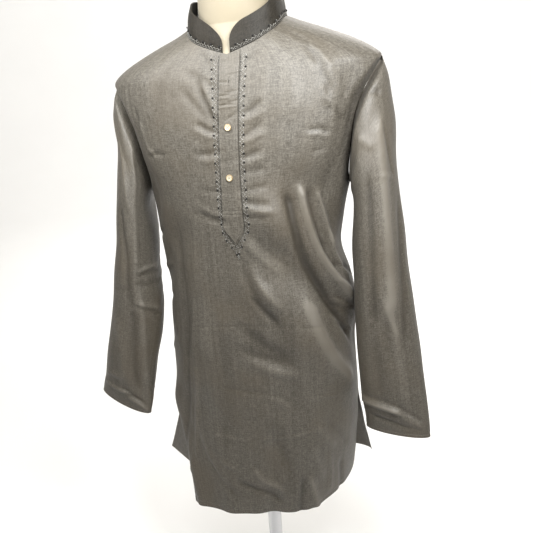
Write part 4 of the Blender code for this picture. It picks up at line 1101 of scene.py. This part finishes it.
for number, (height, x) in enumerate(BUTTON_PLACES, 1):
    seated = seat(height, x, 0.0003)
    bm = spun([(r * BUTTON_RADIUS, z * BUTTON_THICK) for r, z in BUTTON_OUTLINE], 40)
    rim = bm.verts.layers.float.new("rim")
    for vert in bm.verts:
        vert[rim] = vert.co.xy.length / BUTTON_RADIUS
    bmesh.ops.transform(bm, matrix=seated, verts=bm.verts)
    finish(f"button_{number}_shell", bm, cream_button, "cream_button", f"button_{number}")

    # The holes are not cut: dark discs stand in for them, painted shade.
    bm = bmesh.new()
    for hx, hy in HOLE_PLACES:
        hole = Matrix.Translation((hx * BUTTON_RADIUS, hy * BUTTON_RADIUS, 0.69 * BUTTON_THICK))
        bmesh.ops.create_cone(bm, cap_ends=True, segments=10, radius1=0.0005, radius2=0.0005,
                              depth=0.00012, matrix=seated @ hole)
    finish(f"button_{number}_holes", bm, dark_thread, "cream_button", smoothed=False)

    bm = bmesh.new()
    for turned in (0.25, 0.75):
        cross = (Matrix.Translation((0.0, 0.0, 0.72 * BUTTON_THICK))
                 @ Matrix.Rotation(math.pi * turned, 4, "Z")
                 @ Matrix.Diagonal((0.0020, 0.00028, 0.00022, 1.0)))
        bmesh.ops.create_uvsphere(bm, u_segments=8, v_segments=6, radius=1.0, matrix=seated @ cross)
    finish(f"button_{number}_thread", bm, seam_thread, "cream_button", smoothed=False)

# %% [markdown]
# ## Paths on the cloth
# Stitches, threads and beads all follow lines on the finished surfaces. A path is a row of points
# and the outward direction at each, and small pieces are set along it at even steps.

# %% Follow a line on a surface
Path = namedtuple("Path", "points outs")


def walk(path, step, start=0.5):
    """Matrices at even steps along a path: first axis along it, third axis outward."""
    run = lengths(path.points)
    stops = np.arange(start * step, run[-1], step)
    behind, spots, ahead = (follow(stops + off, run, path.points) for off in (-0.0005, 0.0, 0.0005))
    outs = unit(follow(stops, run, path.outs))
    return [stand(*place) for place in zip(spots, outs, unit(ahead - behind))]


def grains(bm, matrices, size, shift=(0.0, 0.0, 0.0), spin=0.0, segments=(6, 4)):
    """Small ovals of a size along, across and out, one at each matrix."""
    fit = (Matrix.Translation(shift) @ Matrix.Rotation(spin, 4, "Z")
           @ Matrix.Diagonal((*[0.5 * s for s in size], 1.0)))
    oval = bmesh.new()
    bmesh.ops.create_uvsphere(oval, u_segments=segments[0], v_segments=segments[1], radius=1.0)
    pattern = bpy.data.meshes.new("oval")
    oval.to_mesh(pattern)
    oval.free()
    for matrix in matrices:
        one = pattern.copy()
        one.transform(matrix @ fit)
        bm.from_mesh(one)
        bpy.data.meshes.remove(one)
    bpy.data.meshes.remove(pattern)


def body_path(panel, angle, height, lift=0.0):
    return Path(body_surface(panel, angle, height, lift), body_out(panel, angle, height))


def front_path(xs, heights, lift, count=260):
    """A path on the front panel through points given across and up, at even steps."""
    spots = np.stack([xs, heights], -1)
    run = lengths(spots)
    x, height = follow(np.linspace(0.0, run[-1], count), run, spots).T
    return body_path("front", angle_at(x, height), height, lift)


def thread(name, paths, radius, look, slot):
    """A thread of this radius along each path, as a mesh."""
    curve = bpy.data.curves.new(name, "CURVE")
    curve.dimensions = "3D"
    curve.bevel_depth = radius
    curve.bevel_resolution = 1
    curve.use_fill_caps = True
    for points in paths:
        spline = curve.splines.new("POLY")
        spline.points.add(len(points) - 1)
        spline.points.foreach_set("co", np.insert(points, 3, 1.0, axis=1).ravel())
    drawn = bpy.data.objects.new(name, curve)
    bpy.context.scene.collection.objects.link(drawn)
    shape = drawn.evaluated_get(bpy.context.evaluated_depsgraph_get())
    bm = bmesh.new()
    bm.from_mesh(shape.to_mesh())
    shape.to_mesh_clear()
    bpy.data.objects.remove(drawn)
    bpy.data.curves.remove(curve)
    return finish(name, bm, look, slot)


print("path helpers are ready")

# %% [markdown]
# ## The border
# Beside the strip runs a border about ten millimetres wide: next to the edge a chain of dark and
# silver stitches, then a silver vine with small leaves, and outside a column of beads, one long
# black bead between two round white ones. The two sides meet in a point under the strip.

# %% The border's lines
BORDERS = (
    # strip's edge: across, height; bead column: across, height
    (  # on the wearer's right
        (-0.01, 1.18, -0.024, 1.1815), (-0.0099, 1.153, -0.0229, 1.153),
        (-0.0117, 1.115, -0.021, 1.115), (-0.0127, 1.064, -0.0211, 1.064),
        (-0.0135, 1.011, -0.0214, 1.011), (-0.015, 0.97, -0.022, 0.97),
        (-0.016, 0.94, -0.0212, 0.94), (-0.0163, 0.926, -0.0196, 0.926),
        (-0.015, 0.918, -0.0178, 0.913), (-0.0095, 0.912, -0.0134, 0.904),
        (-0.0035, 0.906, -0.0073, 0.895), (0.0014, 0.8995, -0.0002, 0.885),
        (0.0014, 0.896, 0.0024, 0.878),
    ),
    (  # on the wearer's left
        (0.0196, 1.178, 0.0303, 1.18), (0.019, 1.151, 0.0288, 1.151),
        (0.0172, 1.111, 0.0264, 1.111), (0.016, 1.06, 0.0246, 1.06), (0.0155, 1.01, 0.0237, 1.01),
        (0.0162, 0.965, 0.0245, 0.965), (0.0168, 0.935, 0.0253, 0.934),
        (0.0166, 0.925, 0.024, 0.922), (0.0155, 0.918, 0.02, 0.913),
        (0.011, 0.9115, 0.0139, 0.902), (0.006, 0.905, 0.0091, 0.891),
        (0.0022, 0.8995, 0.0048, 0.883), (0.0018, 0.896, 0.0034, 0.878),
    ),
)
CHAIN_SHARE, VINE_SHARE, EDGE_SHARE = 0.20, 0.58, 0.93    # from the strip's edge to the bead column
BEAD_STEP = 0.0140
LEAF_STEP = 0.0064


def chain_row(path, step=0.0022):
    """Slanted stitches, dark and silver in turn."""
    grains(dark, walk(path, step), (0.0018, 0.00085, 0.0007), (0.0, -0.0003, 0.0002), 0.6)
    grains(pale, walk(path, step, 1.0), (0.0018, 0.0008, 0.0007), (0.0, 0.0004, 0.0002), -0.6)


def vine(path, swing, wave):
    """Points of a thread that winds from side to side of a path."""
    return np.array([matrix @ Vector((0.0, swing * math.sin(2 * math.pi * k / 8), 0.0))
                     for k, matrix in enumerate(walk(path, wave / 8))])


black, white, dark, pale, leaf = (bmesh.new() for _ in range(5))
vines = []
for edge_x, edge_z, bead_x, bead_z in (np.array(rows).T for rows in BORDERS):
    beads, chain, middle, outer = (
        front_path(edge_x + (bead_x - edge_x) * share, edge_z + (bead_z - edge_z) * share, lift)
        for share, lift in ((1.0, 0.0004), (CHAIN_SHARE, 0.0003), (VINE_SHARE, 0.0004),
                            (EDGE_SHARE, 0.0004)))
    row = walk(beads, BEAD_STEP, 0.45)
    grains(black, row, (0.0025, 0.0036, 0.0018), (0.0, 0.0, 0.0006), segments=(8, 6))
    for along in (-0.0033, 0.0033):
        grains(white, row, (0.0010, 0.0011, 0.0009), (along, 0.0, 0.0003), segments=(7, 5))
    chain_row(chain)
    vines.append(vine(middle, 0.0013, LEAF_STEP))
    for first, aside, spin in ((0.25, 0.0017, 0.9), (0.75, -0.0017, -0.9)):
        grains(leaf, walk(middle, LEAF_STEP, first), (0.0026, 0.0010, 0.0007),
               (0.0, aside, 0.0001), spin)
    grains(pale, walk(outer, 0.0031), (0.0022, 0.0006, 0.0006), (0.0, 0.0, 0.0001), 0.2)

tip = walk(front_path((0.0030, 0.0042), (0.8795, 0.8720), 0.0004, 12), 0.0026)
for aside, spin in ((0.0008, 0.7), (-0.0008, -0.7)):
    grains(leaf, tip, (0.0030, 0.0012, 0.0009), (0.0, aside, 0.0), spin)
print("border drawn; its beads and stitches are kept open for the collar")

# %% The collar's border
runs = np.linspace(0.002, COLLAR_LENGTH - 0.002, 500)


def collar_path(up, lift):
    return Path(collar_surface(runs, up + 0.0 * runs, lift), collar_out(runs))


CORD_UP, ZIGZAG_UP, BEADS_UP = 0.0012, 0.0042, 0.0080
row = walk(collar_path(BEADS_UP, 0.0004), BEAD_STEP, 0.55)
grains(black, row, (0.0024, 0.0034, 0.0018), (0.0, 0.0, 0.0006), segments=(8, 6))
grains(white, row, (0.0010, 0.0011, 0.0009), (0.0032, -0.0010, 0.0003), segments=(7, 5))
chain_row(collar_path(CORD_UP, 0.0004), 0.0026)
vines.append(vine(collar_path(ZIGZAG_UP, 0.0003), 0.0011, 0.0056))

for bm, name, look in ((black, "long_beads", black_glass), (white, "round_beads", white_glass),
                       (dark, "dark_chain", dark_thread), (pale, "silver_chain", silver_thread),
                       (leaf, "silver_leaves", silver_thread)):
    finish(name, bm, look, "grey_cotton_band")
thread("silver_vine", vines, 0.00032, silver_thread, "grey_cotton_band")

# %% [markdown]
# ## Seams and hems
# The hems, slits and cuffs are turned in twice and sewn with one line of stitches, and the strip is
# sewn close to its edges, with two lines across it. A hand-worked buttonhole stands over the upper
# button; its open slit is a row of dark ovals, painted shade.

# %% Lines of stitches
def slit_line(panel, side):
    """Beside a slit's edge, from the hem's stitches to the top of the slit."""
    height = np.linspace(HEM + HEM_BAND, SLIT_TOP, 90)
    angle = cut_angle(panel, side, height) - np.degrees(NARROW_HEM / reach(height))
    return body_path(panel, side * angle, height)


def hem_line(panel):
    height, across = np.full(200, HEM + HEM_BAND), np.linspace(-1, 1, 200)
    edge = edge_angle(panel, across, height)
    return body_path(panel, across * (edge - np.degrees(NARROW_HEM / reach(height))), height)


def cuff_line(side):
    turns = np.linspace(0.0, 360.0, 200)
    at = np.full(200, CUFF - CUFF_BAND / RING_STEP)
    return Path(sleeve_surface(side, turns, at), sleeve_out(side, turns, at))


def stitched(name, slot, paths, step, size):
    bm = bmesh.new()
    for path in paths:
        grains(bm, walk(path, step), size)
    finish(name, bm, seam_thread, slot)


lines = [line for panel in ("front", "back")
         for line in (hem_line(panel), slit_line(panel, 1), slit_line(panel, -1))]
lines += [cuff_line(1), cuff_line(-1)]
stitched("hem_stitches", "grey_cotton", lines, 0.0031, (0.0023, 0.00055, 0.0005))

# %% The strip's stitches and its buttonhole
def strip_line(s, height, lift=0.0):
    return Path(strip_surface(s, height, lift), body_out("front", np.zeros_like(height), height))


HOLE_ENDS = (1.1385, 1.1520)
lines = []
for side in (-1, 1):
    for heights in (np.linspace(0.926, 1.178, 160), np.linspace(0.9050, 0.9255, 24)):
        inside = np.maximum(1.0 - EDGE_ROW / strip("half", heights), 0.0)
        lines.append(strip_line(side * inside, heights))
for row in CROSS_ROWS:
    lines.append(strip_line(np.linspace(-0.86, 0.86, 30), np.full(30, row)))
stitched("strip_stitches", "grey_cotton_band", lines, 0.0025, (0.0020, 0.00055, 0.0005))

bm = bmesh.new()
hole = strip_line(np.full(30, 0.02), np.linspace(*HOLE_ENDS, 30), 0.0001)
for aside in (-0.00075, 0.00075):
    grains(bm, walk(hole, 0.00075), (0.0006, 0.0013, 0.0006), (0.0, aside, 0.0))
for end in HOLE_ENDS:
    bar = strip_line(np.linspace(-0.10, 0.14, 8), np.full(8, end), 0.0002)
    grains(bm, walk(bar, 0.0008), (0.0011, 0.0006, 0.0006))
finish("buttonhole_stitches", bm, seam_thread, "grey_cotton_band")
# The open slit is a row of dark ovals: painted shade in the gap.
bm = bmesh.new()
grains(bm, walk(hole, 0.0130), (0.0066, 0.0009, 0.0009), (0.0, 0.0, 0.0002))
finish("buttonhole_slit_shade", bm, dark_thread, "grey_cotton_band")

# %% [markdown]
# ## The dress form and its stand
# Nobody wears the tunic: it hangs on a limbless form, a smooth torso with a neck, over a steel pole
# and a round foot. The form is whole under the cloth and clear of it.

# %% The torso and neck
NECK_TOP = 1.335
NECK = (
    ("height", "across", "deep", "centre"),
    (1.222, 0.066, 0.058, -0.003), (1.236, 0.0615, 0.057, -0.006), (1.252, 0.059, 0.056, -0.009),
    (1.275, 0.0575, 0.055, -0.013), (1.3, 0.0565, 0.0545, -0.017), (1.322, 0.0565, 0.0545, -0.02),
    (1.332, 0.055, 0.053, -0.021), (1.335, 0.052, 0.05, -0.021),
)
CLEARANCE = (
    ("height", "clearance"),
    (0.47, 0.022), (0.6, 0.02), (0.9, 0.019), (1.05, 0.017), (1.12, 0.0085), (1.155, 0.0044),
    (1.222, 0.0034),
)
FORM_BOTTOM, TORSO_TOP = 0.470, 1.205
FORM_ENDS, FORM_SQUARENESS = 0.184, 10
TORSO_SHARE = 0.74               # share of the form's rows below its neck


def plain_body(turn, height):
    """The hanging shape without its folds."""
    front, back = (body_point(panel, turn, height, -fold_rise(turn, height))
                   for panel in ("front", "back"))
    return np.where((np.abs(turn) <= 90.0)[..., None], front, back)


def form_point(s, t):
    """Rings from the bottom up: the torso inside the cloth, then the neck."""
    turn = np.clip(360.0 * s - 180.0, -179.9999, 179.9999)
    outward = np.stack([np.sin(np.radians(turn)), -np.cos(np.radians(turn)), 0.0 * turn], -1)
    height = FORM_BOTTOM + (TORSO_TOP - FORM_BOTTOM) * np.clip(t / TORSO_SHARE, 0.0, 1.0)
    slope = plain_body(turn, np.minimum(height + 0.003, 1.215)) - plain_body(turn, height - 0.003)
    side = plain_body(np.minimum(turn + 0.5, 179.9), height) - plain_body(
        np.maximum(turn - 0.5, -179.9), height)
    normal = unit(np.cross(side, slope))
    normal = np.where((normal * outward).sum(-1)[..., None] < 0, -normal, normal)
    point = plain_body(turn, height) - normal * column(CLEARANCE, "clearance", height)[..., None]
    squared = 1.0 + np.abs(point[..., 0] / FORM_ENDS) ** FORM_SQUARENESS
    point[..., 0] /= squared ** (1.0 / FORM_SQUARENESS)
    point[..., 2] = np.where(height < ARMPIT, height, point[..., 2])

    high = np.clip((t - TORSO_SHARE) / (1.0 - TORSO_SHARE), 0.0, 1.0)
    level = NECK_SIDE + (NECK_TOP - NECK_SIDE) * np.interp(
        high, [0.0, 0.12, 0.9, 1.0], [0.0, 0.08, 0.965, 1.0])
    across, deep, centre = (column(NECK, name, level) for name in NECK[0][1:])
    x = across * outward[..., 0]
    ease = SHOULDER_TILT * (NECK_TOP - level) / (NECK_TOP - NECK_SIDE)
    neck = np.stack([x, centre + deep * outward[..., 1], level + ease * x], -1)
    return np.where((t > TORSO_SHARE)[..., None], neck, point)


def sharpen(bm, degrees):
    for edge in bm.edges:
        if len(edge.link_faces) == 2 and edge.calc_face_angle() > math.radians(degrees):
            edge.smooth = False
    return bm


bm, s, t = grid(128, 120)
for vert, spot in zip(bm.verts, form_point(s, t)):
    vert.co = spot
bmesh.ops.remove_doubles(bm, verts=bm.verts, dist=0.0002)
rims = [edge for edge in bm.edges if edge.is_boundary]
caps = bmesh.ops.holes_fill(bm, edges=rims, sides=0)["faces"]
bmesh.ops.inset_region(bm, faces=caps, thickness=0.004)
bmesh.ops.recalc_face_normals(bm, faces=bm.faces)
finish("form_shell", sharpen(bm, 45), cream_form, "cream_form", "form_torso")

# %% [markdown]
# ## The stand
# The pole and the foot are turned shapes. The foot is a disc with a rounded rim, and a small flange
# holds the pole on it. Under the torso a plate with a rounded edge carries the form.

# %% The pole, the foot and their fittings
POLE_OUTLINE = (
    (0, 0.0103), (0.03, 0.0103), (0.03, 0.0135), (0.027, 0.016), (0.02, 0.017), (0.0185, 0.02),
    (0.018, 0.042), (0.017, 0.0435), (0.0142, 0.044), (0.014, 0.046), (0.014, 0.444),
    (0.0142, 0.446), (0.0165, 0.447), (0.017, 0.449), (0.017, 0.464), (0.0175, 0.466),
    (0.03, 0.4672), (0.031, 0.468), (0.031, 0.4697), (0, 0.4697),
)
FOOT_OUTLINE = (
    (0, 0), (0.148, 0), (0.1495, 0.001), (0.15, 0.003), (0.15, 0.0065), (0.1494, 0.0083),
    (0.148, 0.0094), (0.146, 0.0099), (0.13, 0.01), (0, 0.01),
)
for name, outline, segments, node in (("stand_pole", POLE_OUTLINE, 64, "pole"),
                                      ("stand_foot", FOOT_OUTLINE, 128, "base_plate")):
    finish(name, sharpen(spun(outline, segments), 40), brushed_steel, "brushed_steel", node)

# %% [markdown]
# ## The floor
# A pale floor curves up into a wall all round, so no edge shows behind the garment.

# %% The floor
FLOOR_FLAT, FLOOR_CURVE, WALL_TOP = 3.4, 1.6, 4.2
made, shader, place = start("studio_floor")
grain = place.noise(3.0, rough=0.5)
dress(shader, grain.mix((0.86, 0.86, 0.855), (0.90, 0.90, 0.895)), 0.75 + grain * 0.1)
bends = [math.pi / 2 * k / 12 for k in range(13)]
profile = [(FLOOR_FLAT + FLOOR_CURVE * math.sin(bend), FLOOR_CURVE * (1 - math.cos(bend)))
           for bend in bends]
profile = [(0.0, 0.0), *profile, (FLOOR_FLAT + FLOOR_CURVE, WALL_TOP)]
new_object("floor", spun(profile, 96), made)
print("floor is in place")
